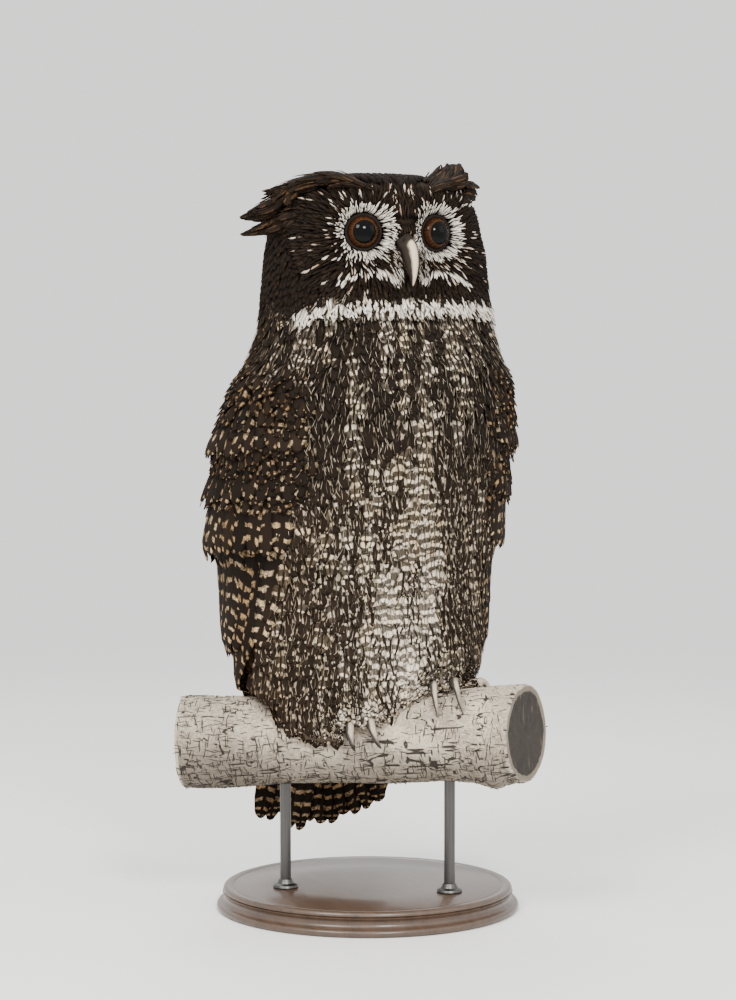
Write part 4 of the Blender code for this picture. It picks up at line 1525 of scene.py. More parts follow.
def shoulder_marks(points, rng):
    """Dark feathers with broad dark middles and buff notched edges."""
    count = len(points)
    luck = rng.random(count)
    ground, mark = quill_colours(0.4, 0.7 * luck, 0.4 * rng.random(count))
    bars = 0.64 + 0.06 * rng.normal(size=count)
    streak = 0.60 + 0.10 * rng.normal(size=count)
    return ground, mark, patterns(bars, streak, 3.4, luck, 0.75)


def make_tail(settings):
    """Twelve tail feathers in a fan, the middle pair hindmost."""
    rng = np.random.default_rng(41)
    coat = Coat("coat_tail", BROAD)
    turn = np.array(
        Matrix.Rotation(TAIL_SWING, 3, "Y") @ Matrix.Rotation(TAIL_LEAN, 3, "X")
    )
    share = stations(18, 1.7)
    count = TAIL_FEATHERS
    across = np.linspace(-0.93, 0.93, count)[:, None]
    rounding = np.where(across < 0, 0.65, 1.0) * TAIL_ROUND
    length = (TAIL_LENGTH - rounding * across**2) * rng.uniform(0.90, 1.005, (count, 1))
    half = TAIL_ROOT_HALF + (TAIL_TIP_HALF - TAIL_ROOT_HALF) * share
    behind = 0.0030 - 0.0060 * np.abs(across) - 0.0045 * across**2
    local = np.stack([across * half, behind + 0 * share, -length * share], axis=-1)
    spine = np.array(TAIL_ROOT) + local @ turn.T
    normal = np.broadcast_to(turn @ np.array([0.0, 1.0, 0.0]), spine.shape)
    luck = rng.random(count)
    ground, mark = quill_colours(0.5, 0.1 + 0.4 * luck, 0.3 * luck)
    pattern = patterns(0.78 + 0.05 * rng.normal(size=count), 0.22, 11.0, 0.0, 0.7)
    pattern = in_step(pattern, spine, length[:, 0], 0.0140, 0.30, rng)
    halves = vane_halves(rng.uniform(0.0100, 0.0135, count), share, 10, 0.20, rng)
    place = place_round(spine[:, 0], 0.10, 0.30)
    coat.add(spine, normal, halves, 0.0012, 0.12, ground, mark, pattern, place, luck)
    coat.piece()


def make_tufts(settings):
    """The brows run out into long ear tufts that part into frayed locks."""
    rng = np.random.default_rng(42)
    coat = Coat("coat_tufts", BROAD)
    share = stations(9, 1.1)
    c = colours()
    for side_name, side in SIDES.items():
        for lock in TUFT_LOCKS[side_name]:
            rows = np.array(lock)
            last = len(rows) - 1.0
            beyond = rows[-1] + 0.75 * (rows[-1] - rows[-2])
            beyond[3:] = rows[-1, 3:]
            rows = np.concatenate([rows, [beyond]])

            # Where on the lock each feather starts and ends; a few loose strands reach past it
            count = 32 * len(rows)
            start = rng.uniform(-0.3, last - 1.0, count).clip(0)
            strand = rng.random(count) < 0.14
            reach = last - np.abs(rng.normal(0, 0.16, count)) + strand * rng.uniform(0, 1, count)
            end = np.minimum(start + rng.uniform(1.0, 1.7, count), reach)
            at = start[:, None] + (end - start)[:, None] * share
            path = along_rows(rows, at)
            middle, wide, deep = path[..., :3] * [side, 1, 1], path[..., 3], path[..., 4]
            tangent = unit(np.gradient(middle, axis=1))
            beside = unit(np.cross(tangent, [0.0, 0.0, 1.0]))
            above = np.cross(beside, tangent)
            above = np.where(above[..., 2:] < 0, -above, above)

            # Its place in the lock's thickness, frayed outwards to its end
            round_lock = rng.uniform(0, 2 * math.pi, count)
            out = np.sqrt(rng.uniform(0.15, 1.0, count))
            fray = rng.uniform(0, 0.5, count)[:, None] * share**2
            off = (out * np.cos(round_lock))[:, None] * (0.76 + 0.22 * share + fray)
            high = (out * np.sin(round_lock))[:, None] * (0.86 + 0.15 * share + fray)
            spine = middle + beside * (off * wide)[..., None] + above * (high * deep)[..., None]
            normal = unit(beside * off[..., None] * 0.8 + above * (0.25 + high)[..., None])

            half = np.clip(wide[:, 4] * 0.40, 0.0014, 0.0048) * rng.uniform(0.7, 1.2, count)
            half = np.where(strand, 0.0013, half)
            halves = vane_halves(half, share, 1.8, 0.25, rng)
            luck = rng.random(count)
            ground = mixed(c["umber"], c["rust"], 0.32 * luck**2)
            mark = mixed(c["ink"], c["umber"], 0.4 * luck)
            pattern = patterns(0.28, 0.66, 2.0, luck, 0.4)
            place = place_over(spine[:, 0])
            coat.add(spine, normal, halves, 0.0006, 0.10, ground, mark, pattern, place, luck)
    coat.piece()


# Legs and feet

def traced(tree, roots, headings, length, share, sink, lift):
    """Spines that creep over a surface from their roots along their headings."""
    spines = np.zeros((len(roots), len(share), 3))
    normals = np.zeros_like(spines)
    for i, root in enumerate(roots):
        point, out = tree.find_nearest(Vector(root))[:2]
        heading = Vector(headings[i])
        before = 0.0
        for j, at in enumerate(share):
            heading = (heading - out * heading.dot(out)).normalized()
            point = point + heading * (length[i] * (at - before))
            before = at
            point, face = tree.find_nearest(point)[:2]
            out = (out * 2 + face).normalized()
            spines[i, j], normals[i, j] = point, out
    return spines + normals * lie(share, sink, lift)[None, :, None], normals


def make_feet(settings):
    """Short feathers down the shanks and along each toe to its claw."""
    rng = np.random.default_rng(43)
    coat = Coat("coat_feet")
    c = colours()
    mesh, tree = outer_surface()
    shanks = tree_of(SHANKS)

    def wanted(points):
        near = np.array([shanks.find_nearest(Vector(p))[3] for p in points])
        low = (near < 0.045) & (points[:, 2] < 0.182)
        return low | (near < 0.018) & (points[:, 2] < 0.230)

    roots = spread_roots(mesh, wanted, 0.0030, rng)
    claws, starts = [], []
    for side_name in SIDES:
        for toe in TOES:
            claws.append(sum(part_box(f"claw_{side_name}_{toe}"), Vector()) / 2)
            starts.append(foot_middle(side_name))
    claws, starts = np.array(claws), np.array(starts)
    count = len(roots)
    gap = np.linalg.norm(roots[:, None] - claws[None], axis=-1)
    nearest = gap.argmin(axis=1)
    toe_like = smooth(0.050, 0.026, gap.min(axis=1))[:, None]
    headings = unit(claws[nearest] - starts[nearest]) * toe_like
    headings = headings + np.array([0, 0, -1.0]) * (1.1 - 0.8 * toe_like)
    headings = headings + rng.normal(0, 0.12, (count, 3))
    share = stations(6)
    length = (0.017 - 0.0075 * toe_like[:, 0]) * rng.uniform(0.8, 1.2, count)
    spine, normal = traced(tree, roots, headings, length, share, 0.0014, 0.0010)
    luck = rng.random(count)
    ground, mark, pattern = body_marks(spine[:, -2], rng)
    toes = (toe_like * (spine[:, -1, 2:] < 0.215))[:, 0]
    ground = mixed(ground, mixed(c["buff"], c["white"], 0.3 + 0.6 * luck), 0.85 * toes)
    pattern[:, :2] -= np.array([0.42, 0.30]) * toes[:, None]
    pattern[:, 2] = 1.5
    half = (0.0036 - 0.0015 * toe_like[:, 0]) * rng.uniform(0.8, 1.2, count)
    halves = vane_halves(half, share, 3.0, 0.2, rng)
    place = place_round(spine[:, 0])
    coat.add(spine, normal, halves, 0.0006, 0.3, ground, mark, pattern, place, luck)
    coat.piece()


# Eyes, bill and claws

def lathe_points(rings, turns):
    """Rings of points round +Z from (radius, height) pairs."""
    angle = np.arange(turns) / turns * 2 * math.pi
    radius, height = np.array(rings, float).T[..., None]
    flat = [radius * np.cos(angle), radius * np.sin(angle)]
    return np.stack([*flat, height + 0 * angle], axis=-1)


def closed_mesh(name, points, faces):
    """A mesh of a closed shape, its faces turned outwards."""
    mesh = bpy.data.meshes.new(name)
    mesh.from_pydata([tuple(p) for p in points], [], faces)
    bm = bmesh.new()
    bm.from_mesh(mesh)
    bmesh.ops.recalc_face_normals(bm, faces=bm.faces)
    bm.to_mesh(mesh)
    bm.free()
    return mesh


def ring_mesh(name, rings):
    """A closed mesh over rings of equal length, with a fan at each end."""
    rings = np.asarray(rings, float)
    rows, turns = rings.shape[:2]
    middles = [rings[0].mean(axis=0), rings[-1].mean(axis=0)]
    first, last = rows * turns, rows * turns + 1
    faces = []
    for i in range(turns):
        j = (i + 1) % turns
        faces.append((first, j, i))
        faces.append((last, (rows - 1) * turns + i, (rows - 1) * turns + j))
        for k in range(rows - 1):
            low, high = k * turns, (k + 1) * turns
            faces.append((low + i, low + j, high + j, high + i))
    mesh = closed_mesh(name, [*rings.reshape(-1, 3), *middles], faces)
    mesh.shade_smooth()
    return mesh


def tube_mesh(name, rings):
    """A closed ring of skin: the last row of points meets the first again."""
    rows, turns = rings.shape[:2]
    faces = []
    for k in range(rows):
        low, high = k * turns, (k + 1) % rows * turns
        faces += [(low + i, low + (i + 1) % turns, high + (i + 1) % turns, high + i)
                  for i in range(turns)]
    return closed_mesh(name, rings.reshape(-1, 3), faces)


def eye_finish():
    """A dark brown iris with fine rays and a painted highlight ring round a wide pupil, under a wet
    clear coat.
    """
    f = Finish("eyeball")
    gaze = f.attribute("gaze", "Vector")
    x, y, _ = f.parts(gaze)
    radius = (x * x + y * y) ** 0.5
    direction = f.node("ShaderNodeVectorMath", {"operation": "NORMALIZE"}, {
        0: f.node("ShaderNodeCombineXYZ", {}, {0: x, 1: y})
    })
    rays = f.noise(direction, 9.0, 4.0, 0.7)
    fine = f.noise(gaze, 7.0, 3.0)
    deep, light = (0.010, 0.004, 0.002, 1), (0.052, 0.020, 0.007, 1)
    iris = f.colours(deep, light, f.step(rays * 0.7 + fine * 0.3, 0.35, 0.65))
    iris = f.colours(iris, (0.010, 0.004, 0.002, 1), f.step(radius, 0.80, 0.98) * 0.95)
    # Painted highlight: a lighter ring of the iris round the pupil.
    iris = f.colours(iris, (0.080, 0.032, 0.010, 1), (1 - f.step(radius, 0.68, 0.84)) * 0.4)
    black = (0.002, 0.002, 0.002, 1)
    shade = f.colours(iris, black, 1 - f.step(radius, 0.675, 0.705))
    shade = f.colours(shade, (0.012, 0.008, 0.006, 1), f.step(radius, 1.0, 1.05))
    f.surface_values({
        "Base Color": shade, "Roughness": 0.25, "Specular IOR Level": 0.0,
        "Coat Weight": 0.7, "Coat Roughness": 0.01, "Coat IOR": 1.24,
    })
    return f.material


def eye_frame(side):
    """The eye's middle, and a turn whose Z looks where the eye looks."""
    ahead = Vector((side * math.sin(EYE_TURN), -math.cos(EYE_TURN), 0))
    return Vector((side * EYE.x, EYE.y, EYE.z)), ahead.to_track_quat("Z", "Y").to_matrix()


def moved(mesh, middle, turn):
    mesh.transform(Matrix.Translation(middle) @ turn.to_4x4())
    return mesh


def make_eyes(settings):
    """Each eye is a ball with a bulging front, and its lids are folds of the skin."""
    finish = eye_finish()
    for side_name, side in SIDES.items():
        tilt = np.linspace(0.001, math.pi - 0.001, EYE_ROWS)
        bulge = BULGE * (1 - smooth(0.25, 1.05, tilt))
        radius = EYE_RADIUS - 0.0001 + bulge
        profile = np.stack([radius * np.sin(tilt), radius * np.cos(tilt)], axis=-1)
        mesh = ring_mesh("eyeball_" + side_name, lathe_points(profile, EYE_TURNS))
        local = mesh_points(mesh) / IRIS_RADIUS
        local[:, 2] = 0
        behind = mesh_points(mesh)[:, 2] < 0
        local[behind] = [1.3, 0, 0]
        note(mesh, "gaze", "FLOAT_VECTOR", local)
        mesh.materials.append(finish)
        placed(mesh.name, moved(mesh, *eye_frame(side)), ("eye_" + side_name,))


def horn_finish(name, base, ridge, roughness, reach=1.0):
    """Horn: dark sides, a pale ridge of wear and painted highlight, faint growth lines, and painted
    shade in hollows.
    """
    f = Finish(name)
    along, edge, hollow = f.parts(f.attribute("horn", "Vector"))
    fine = f.noise(f.place((1, 1, 0.35)), 900, 4.0)
    wide = f.noise(f.place(), 180, 3.0)
    # Pale ridge: worn horn and painted highlight on the bill's upper side, and painted highlight
    # alone on the claws' faces that turn up and forward.
    worn = f.step(edge + (wide - 0.5) * 0.30, 0.14, 0.70) * (1 - f.step(along, 0.90, 1.0) * 0.5)
    shade = f.colours(opaque(base), opaque(ridge), worn * reach)
    # Painted shade: near black in the dents of the nostrils and along the gape.
    shade = f.colours(shade, (0.006, 0.005, 0.005, 1), hollow)
    f.surface_values({
        "Base Color": shade, "Roughness": roughness + (fine - 0.5) * 0.25,
        "Specular IOR Level": 0.14,
        "Normal": f.bumps(fine * 0.6 + wide, 0.00025, 0.7),
    })
    return f.material


def horn_loft(name, rows, steps, ridge=0.0, cere=0.0, dents=()):
    """A tapering horn piece along rows of Y, height, half width and half depth.

    The cere is a soft swelling over that share of it from the base. Dents are share
    along, angle from the side, depth as a share of the radius, and their two sizes.
    """
    path = along_rows(rows, np.linspace(0, len(rows) - 1, steps))
    middle = np.stack([np.zeros(steps), path[:, 0], path[:, 1]], axis=-1)
    tangent = unit(np.gradient(middle, axis=0))
    above = np.cross(tangent, [1.0, 0.0, 0.0])
    above = np.where(above[:, 1:2] > 0, -above, above)
    angle = np.arange(HORN_TURNS) / HORN_TURNS * 2 * math.pi
    share = np.linspace(0, 1, steps)[:, None]
    across, up = np.cos(angle), np.sin(angle)
    across = across * (1 - ridge * np.clip(up, 0, 1) ** 2)
    size = 1 + 0.07 * (1 - smooth(cere - 0.02, cere + 0.02, share)) * (cere > 0)
    size = size + 0 * angle
    # Where the dents sink in, marked for painted shade in the finish.
    hollow = np.zeros_like(size)
    for place, turn, deep, sizes in dents:
        off = ((share - place) / sizes[0]) ** 2 + ((angle - turn) / sizes[1]) ** 2
        size = size - deep * np.exp(-off)
        hollow = np.maximum(hollow, np.exp(-off * 1.5))
    rings = (
        middle[:, None] + np.array([1.0, 0, 0]) * (across * path[:, 2:3] * size)[..., None]
        + above[:, None] * (up * path[:, 3:4] * size)[..., None]
    )
    mesh = ring_mesh(name, rings)
    along = np.repeat(share[:, 0], HORN_TURNS)
    # The upper side past the cere is marked for the pale ridge, which is worn horn and painted
    # highlight.
    edge = np.clip(up, 0, 1) ** 4 * smooth(cere - 0.03, cere + 0.05, share)
    horn = np.stack([along, edge.ravel(), hollow.ravel()], axis=-1)
    note(mesh, "horn", "FLOAT_VECTOR", np.concatenate([horn, [[0, 0, 0], [1, 0, 0]]]))
    return mesh


def make_bill(settings):
    """A hooked upper half with a cere and nostrils over a shorter lower half."""
    c = settings.horn
    finish = horn_finish("bill_horn", c.bill, c.bill_ridge_and_highlight, 0.55)
    # Dents for the nostrils and along the gape, whose hollows get painted shade.
    nostrils = [(0.25, turn, 0.16, (0.030, 0.20)) for turn in np.radians((38, 142))]
    gape = [(0.20, turn, 0.10, (0.45, 0.10)) for turn in np.radians((352, 188))]
    for mesh, node in (
        (horn_loft("bill_top", UPPER_BILL, 80, 0.35, 0.30, nostrils + gape), "bill_upper"),
        (horn_loft("bill_bottom", LOWER_BILL, 24), "bill_lower"),
    ):
        mesh.materials.append(finish)
        placed(mesh.name, mesh, (node,))


def make_claws(settings):
    """Smooth claws over the solids' shapes, the four of a foot in one piece."""
    c = settings.horn
    finish = horn_finish("claw_horn", c.claw, c.claw_highlight, 0.42, 0.75)

    def rounded(modifiers):
        fine = modifiers.new("Fine", "SUBSURF")
        fine.levels = fine.render_levels = 2

    for side_name in SIDES:
        names = [f"claw_{side_name}_{toe}" for toe in TOES]
        made = modified(mesh_of("claw_solids", joined(names)), rounded)
        made.name = "claws_" + side_name
        made.shade_smooth()
        points, normals = mesh_points(made), mesh_points(made, "normal")
        reach = np.linalg.norm(points - foot_middle(side_name), axis=-1)
        along = smooth(0.030, 0.062, reach)
        # Painted highlight: the faces turned up and to the front are marked to be pale.
        edge = np.clip(normals[:, 2] * 0.45 - normals[:, 1] * 0.80, 0, 1) ** 2
        note(made, "horn", "FLOAT_VECTOR", np.stack([along, edge, 0 * edge], axis=-1))
        made.materials.clear()
        made.materials.append(finish)
        placed("claws_" + side_name, made, names)


# Branch and stand

def branch_axis():
    """The branch's middle, and its directions along, to the front and up."""
    yaw, rise = BRANCH_YAW, BRANCH_RISE
    along = Vector((
        math.cos(rise) * math.cos(yaw), math.cos(rise) * math.sin(yaw), math.sin(rise)
    ))
    front = Vector((math.sin(yaw), -math.cos(yaw), 0))
    return [np.array(v) for v in (BRANCH_MIDDLE, along, front, front.cross(along))]


def branch_relief(along, angle):
    """Height of the bark in metres, and how deep in a crack each place is."""
    wound = np.stack([
        np.cos(angle) * BRANCH_RADIUS, np.sin(angle) * BRANCH_RADIUS, along
    ], axis=-1)
    drift = 0.004 * (NOISE.at(wound, 0.035) - 0.5)

    def stretched(across, lengthwise, shift):
        scale = np.array([1 / across, 1 / across, 1 / lengthwise])
        return NOISE.at(wound * scale + drift[..., None] / across + shift, 1.0)

    def broken(size, shift, low):
        return smooth(low, low + 0.12, NOISE.at(wound + shift, size))

    furrow = 1 - np.abs(2 * stretched(0.0062, 0.034, 0.0) - 1)
    furrow = smooth(0.90, 0.985, furrow) * broken(0.011, 0.1, 0.46)
    cross = 1 - np.abs(2 * stretched(0.0100, 0.0050, 7.0) - 1)
    cross = smooth(0.91, 0.99, cross) * broken(0.0075, 0.3, 0.54)
    fibre = stretched(0.0022, 0.018, 3.0) - 0.5
    lumps = NOISE.at(wound, 0.022) - 0.5
    crack = np.clip(np.maximum(furrow, cross), 0, 1)
    height = 0.0012 * lumps + 0.0007 * fibre - 0.0014 * furrow - 0.0010 * cross
    return height, crack


def bark_finish():
    """Pale grey-brown bark with dark cracks and painted shadow underneath, and sawn ends with
    rings.
    """
    f = Finish("bark_and_wood")
    radius, sawn, crack = (f.attribute(name) for name in ("reach", "sawn", "crack"))
    here = f.place()
    wide = f.noise(here, 26, 4.0)
    fine = f.noise(here, 420, 5.0, 0.65)
    speck = f.noise(here, 150, 3.0)
    pale, grey = (0.56, 0.48, 0.37, 1), (0.25, 0.20, 0.15, 1)
    bark = f.colours(grey, pale, f.step(wide * 0.45 + fine * 0.55, 0.36, 0.60))
    bark = f.colours(bark, (0.34, 0.35, 0.27, 1), f.step(speck, 0.56, 0.70) * 0.45)
    shadow = f.step(f.attribute("crowd"), 0.60, 2.4) * (0.55 + wide * 0.5)
    bark = f.colours(bark, (0.085, 0.066, 0.048, 1), shadow)
    bark = f.colours(bark, (0.022, 0.016, 0.012, 1), f.step(crack + (fine - 0.5) * 0.5, 0.18, 0.62))
    rings = f.sine(radius * 260 * math.pi + f.noise(here, 60, 2.0) * 5)
    check = f.noise(here, 240, 4.0)
    dark, light = (0.010, 0.007, 0.005, 1), (0.070, 0.050, 0.034, 1)
    wood = f.colours(dark, light, rings * 0.35 + check * 0.65)
    saw = f.noise(f.place((420, 40, 60)), 1.0, 3.0)
    wood = f.colours(wood, (0.20, 0.16, 0.12, 1), f.step(saw, 0.60, 0.72) * 0.6)
    rim = f.step(radius, 0.86, 0.90)
    wood = f.colours(wood, (0.33, 0.27, 0.20, 1), rim * 0.7)
    f.surface_values({
        "Base Color": f.colours(bark, wood, sawn), "Roughness": 0.88 - crack * 0.1,
        "Normal": f.bumps(fine * 0.7 + speck * 0.3 + rings * sawn * 0.3, 0.0006, 0.8),
    })
    return f.material


def read_branch(ring_at, angle):
    """The perch's radii, and how far its slanting cut shifts each place along it."""
    middle, way, front, up = branch_axis()
    tree = tree_of(("perch",))
    outside = BRANCH_RADIUS * 2
    radius, shift = np.zeros((2, len(ring_at), len(angle)))
    for i, along in enumerate(ring_at):
        slant = -BRANCH_CUT * float(smooth(0.55, 1.0, along / BRANCH_END)) if along > 0 else 0
        inside = min(max(along, BRANCH_START + 0.004), BRANCH_END - 0.003)
        for j, turn in enumerate(angle):
            out = front * math.sin(turn) + up * math.cos(turn)
            shift[i, j] = slant * BRANCH_RADIUS * math.sin(turn)
            centre = middle + way * (inside + shift[i, j])
            hit = tree.ray_cast(Vector(centre + out * outside), Vector(-out), outside)
            radius[i, j] = outside - hit[3] if hit[0] is not None else BRANCH_RADIUS
    radius = softened(np.concatenate([radius, radius[:, :1]], axis=1), 2)[:, :-1]
    radius[:, 0] = (radius[:, -1] + radius[:, 1]) / 2
    return radius, shift


def on_bark(values, beyond):
    """One number for each point: the values on the bark, and beyond on the sawn ends."""
    end = np.full(len(END_SHARES) * BRANCH_TURNS, beyond)
    return np.concatenate([end, values.ravel(), end, [beyond, beyond]])


def make_branch(settings):
    """The cut length of branch: cracked bark all round, a sawn face at each end."""
    middle, way, front, up = branch_axis()
    angle = np.arange(BRANCH_TURNS) / BRANCH_TURNS * 2 * math.pi
    ring_at = np.linspace(BRANCH_START, BRANCH_END, BRANCH_ROWS)
    radius, shift = read_branch(ring_at, angle)
    along_grid, angle_grid = np.meshgrid(ring_at, angle, indexing="ij")
    height, crack = branch_relief(along_grid, angle_grid)
    worn = smooth(0, 0.004, BRANCH_END - along_grid) * smooth(0, 0.004, along_grid - BRANCH_START)
    radius = radius + height - 0.0012 * (1 - worn)
    out = np.sin(angle)[:, None] * front + np.cos(angle)[:, None] * up
    barrel = middle + way * (along_grid + shift)[..., None] + out * radius[..., None]
    ends = []
    for end, outwards in ((0, -1), (-1, 1)):
        rings = []
        for share in END_SHARES:
            flat = middle + way * (ring_at[end] + shift[end] * share)[:, None]
            ring = flat + out * (radius[end] * share)[:, None]
            dent = 0.0012 * (NOISE.at(ring, 0.006) - 0.5) - 0.0004 * (share < 0.88)
            rings.append(ring + way * (dent * outwards)[:, None])
        ends.append(rings)
    mesh = ring_mesh("branch", np.concatenate([ends[0][::-1], barrel, ends[1]]))
    reach = np.concatenate([END_SHARES[::-1], np.ones(BRANCH_ROWS), END_SHARES])
    # Painted shadow under the branch and towards its start: the finish darkens the bark there, and
    # more dark seams are crowded in.
    under = smooth(0.5, -0.8, np.cos(angle_grid)) + 0.6 * smooth(-0.07, -0.15, along_grid)
    for name, values in (
        ("reach", np.append(np.repeat(reach, BRANCH_TURNS), [0, 0])),
        ("sawn", on_bark(np.zeros_like(crack), 1)), ("crack", on_bark(crack, 0)),
        ("crowd", on_bark(worn * (0.60 + 1.2 * under), 0)),
    ):
        note(mesh, name, "FLOAT", values)
    finish = bark_finish()
    mesh.materials.append(finish)
    seams = seam_tree().run(mesh, {
        "Density": 26000.0, "Length": 0.0092, "Width": 0.0009, "Height": 0.0007,
        "Way": tuple(way), "Seed": 3, "Material": finish,
    })
    seams.name = "bark_seams"
    placed("branch", mesh, ("perch",))
    placed("bark_seams", seams)


def wood_finish(colour):
    """Dark stained turned wood with a satin polish."""
    f = Finish("stained_wood")
    warp = f.noise(f.place((1, 1, 0.25)), 9, 3.0)
    grain = f.noise(f.place((34, 2.2, 9)), 5.0, 5.0, 0.6, 0.4)
    pores = f.noise(f.place((700, 38, 200)), 1.0, 2.0)
    shade = f.colours(opaque(np.array(colour) * 0.45), opaque(np.array(colour) * 1.7), grain)
    shade = f.colours(shade, (0.008, 0.005, 0.004, 1), f.step(pores, 0.60, 0.72) * 0.7)
    f.surface_values({
        "Base Color": shade, "Roughness": 0.34 + grain * 0.14 + warp * 0.06,
        "Coat Weight": 0.35, "Coat Roughness": 0.18,
        "Normal": f.bumps(grain * 0.4 - pores, 0.0002, 0.4),
    })
    return f.material


def arc(middle, radius, start, end, count):
    """Profile points along an arc, angles in degrees from outwards."""
    for angle in np.radians(np.linspace(start, end, count)):
        yield middle[0] + radius * math.cos(angle), middle[1] + radius * math.sin(angle)


def make_stand(settings):
    """A turned base with a bead and a hollow round its edge, and two steel rods."""
    low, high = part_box("stand_base")
    radius, top = high.x, high.z
    profile = [
        (0.0005, 0.0012), (radius - 0.010, 0.0012), (radius - 0.008, 0.0), (radius - 0.003, 0.0),
        *arc((radius - 0.0035, 0.0035), 0.0035, -80, 90, 9),
        *arc((radius - 0.0030, 0.0118), 0.0048, -120, -240, 9),
        (radius - 0.0075, top - 0.0048), *arc((radius - 0.0100, top - 0.0040), 0.0040, 0, 90, 9),
        (radius - 0.014, top - 0.0004), (radius - 0.0155, top - 0.0012),
        (radius - 0.0175, top - 0.0004), (radius * 0.5, top), (0.0005, top),
    ]
    mesh = ring_mesh("base", lathe_points(profile, BASE_TURNS))
    mesh.materials.append(wood_finish(settings.mount.wood))
    mesh.set_sharp_from_angle(angle=SHARP)
    placed("base", mesh, ("stand_base",))
    steel = Finish("dark_steel")
    brush = steel.noise(steel.place((900, 900, 18)), 1.0, 3.0)
    steel.surface_values({
        "Base Color": steel.colours((0.05, 0.048, 0.046, 1), (0.14, 0.135, 0.13, 1), brush),
        "Metallic": 1.0, "Roughness": 0.30 + brush * 0.22,
    })
    for side_name in SIDES:
        low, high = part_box("stand_rod_" + side_name)
        middle = (low + high) / 2
        half = (high.x - low.x) / 2
        foot = top + 0.0002
        profile = [
            (0.0002, low.z), (half, low.z), (half, foot), (half * 2.3, foot),
            (half * 2.35, foot + 0.0010), (half * 2.2, foot + 0.0028),
            (half * 1.55, foot + 0.0042), (half * 1.35, foot + 0.0062),
            (half * 1.2, foot + 0.0080), (half, foot + 0.0086), (half, high.z - 0.0002),
            (0.0002, high.z),
        ]
        mesh = ring_mesh("rod_" + side_name, lathe_points(profile, ROD_TURNS))
        mesh.transform(Matrix.Translation((middle.x, middle.y, 0)))
        mesh.set_sharp_from_angle(angle=SHARP)
        mesh.materials.append(steel.material)
        placed("rod_" + side_name, mesh, ("stand_rod_" + side_name,))


# Stage

FLOOR_RADIUS, FLOOR_POINTS = 2.4, 96
AIM = Vector((0, 0.022, 0.377))             # what the camera looks at
AIM_ASIDE = 0.0093                          # and how far to the right of it
LAMP_AIM = Vector((0, 0, 0.40))
SENSOR_WIDTH = 36
# Azimuth from the front, elevation, distance, size, power and colour of each lamp
LAMPS = {
    "key_lamp": (-58, 40, 2.4, 0.8, 50, (1.0, 0.97, 0.93)),
    "fill_lamp": (48, 24, 2.8, 1.4, 9, (0.94, 0.97, 1.0)),
    "rim_lamp": (165, 45, 2.6, 1.2, 36, (1.0, 1.0, 1.0)),
    "catch_lamp": (-8, 30, 2.3, 0.46, 46, (1.0, 0.99, 0.97)),
}


def facing(name, data, middle, turn, rise, far):
    """A lamp or camera that looks at the middle, from an azimuth and an elevation."""
    way = Vector((
        math.sin(turn) * math.cos(rise), -math.cos(turn) * math.cos(rise), math.sin(rise)
    ))
    item = in_scene(name, data)
    item.location = middle + way * far
    item.rotation_euler = (-way).to_track_quat("-Z", "Y").to_euler()
    return item


def make_stage(settings):
    """A pale floor that fades out, light from all round, the lamps and the camera."""
    stage = settings.stage
    world = bpy.data.worlds.new("studio")
    world.use_nodes = True
    Nodes(world.node_tree).fill(world.node_tree.nodes["Background"], {
        "Color": (0.90, 0.90, 0.89, 1), "Strength": stage.ambient,
    })
    bpy.context.scene.world = world
    mesh = bpy.data.meshes.new("floor")
    mesh.from_pydata([
        (FLOOR_RADIUS * math.cos(a), FLOOR_RADIUS * math.sin(a), 0)
        for a in np.arange(FLOOR_POINTS) / (FLOOR_POINTS / 2) * math.pi
    ], [], [tuple(range(FLOOR_POINTS))])
    f = Finish("floor")
    x, y, _ = f.parts(f.place())
    away = (x * x + y * y) ** 0.5
    f.surface_values({
        "Base Color": (0.84, 0.84, 0.83, 1), "Roughness": 0.9, "Specular IOR Level": 0.2,
        "Alpha": 1 - f.step(away, 0.45, 2.3),
    })
    mesh.materials.append(f.material)
    in_scene("floor", mesh)
    for name, (turn, rise, far, size, power, colour) in LAMPS.items():
        lamp = bpy.data.lights.new(name, "AREA")
        lamp.shape, lamp.size = "SQUARE", size
        lamp.energy, lamp.color = power * stage.light, colour
        facing(name, lamp, LAMP_AIM, math.radians(turn), math.radians(rise), far)
    camera = bpy.data.cameras.new("camera")
    camera.lens, camera.sensor_width = stage.lens, SENSOR_WIDTH
    right = Vector((math.cos(stage.azimuth), math.sin(stage.azimuth), 0))
    bpy.context.scene.camera = facing(
        "camera", camera, AIM + right * AIM_ASIDE, stage.azimuth, stage.elevation, stage.distance
    )


# Settings

def tint(name, description, default):
    """A colour that a user can change."""
    return FloatVectorProperty(
        name=name, description=description, subtype="COLOR", size=3, default=default,
        min=0, max=1,
    )


def measure(name, description, default, low, high):
    """A length in metres that a user can change."""
    return FloatProperty(
        name=name, description=description, default=default, min=low, max=high, unit="LENGTH",
    )


def swing(name, description, degrees):
    """An angle that a user can change."""
    return FloatProperty(
        name=name, description=description, default=math.radians(degrees), subtype="ANGLE",
        unit="ROTATION",
    )


class EAGLEOWL_PG_colours(PropertyGroup):
    """Colours that the markings are mixed from"""
    ink: tint("Ink", "Darkest marks", (0.009, 0.0065, 0.005))
    umber: tint("Umber", "Dark brown of crown, back and wings", (0.030, 0.019, 0.0115))
    rust: tint("Rust", "Warm brown ground of sides and back", (0.26, 0.125, 0.045))
    buff: tint("Buff", "Yellowish ground of flanks, wings and tail", (0.46, 0.285, 0.130))
    cream: tint("Cream", "Pale ground of breast and wing spots", (0.66, 0.50, 0.30))
    white: tint("White", "Throat band, moustache and rings round the eyes", (0.86, 0.80, 0.69))
    lid: tint("Lid", "Bare skin of the eyelids", (0.014, 0.011, 0.010))


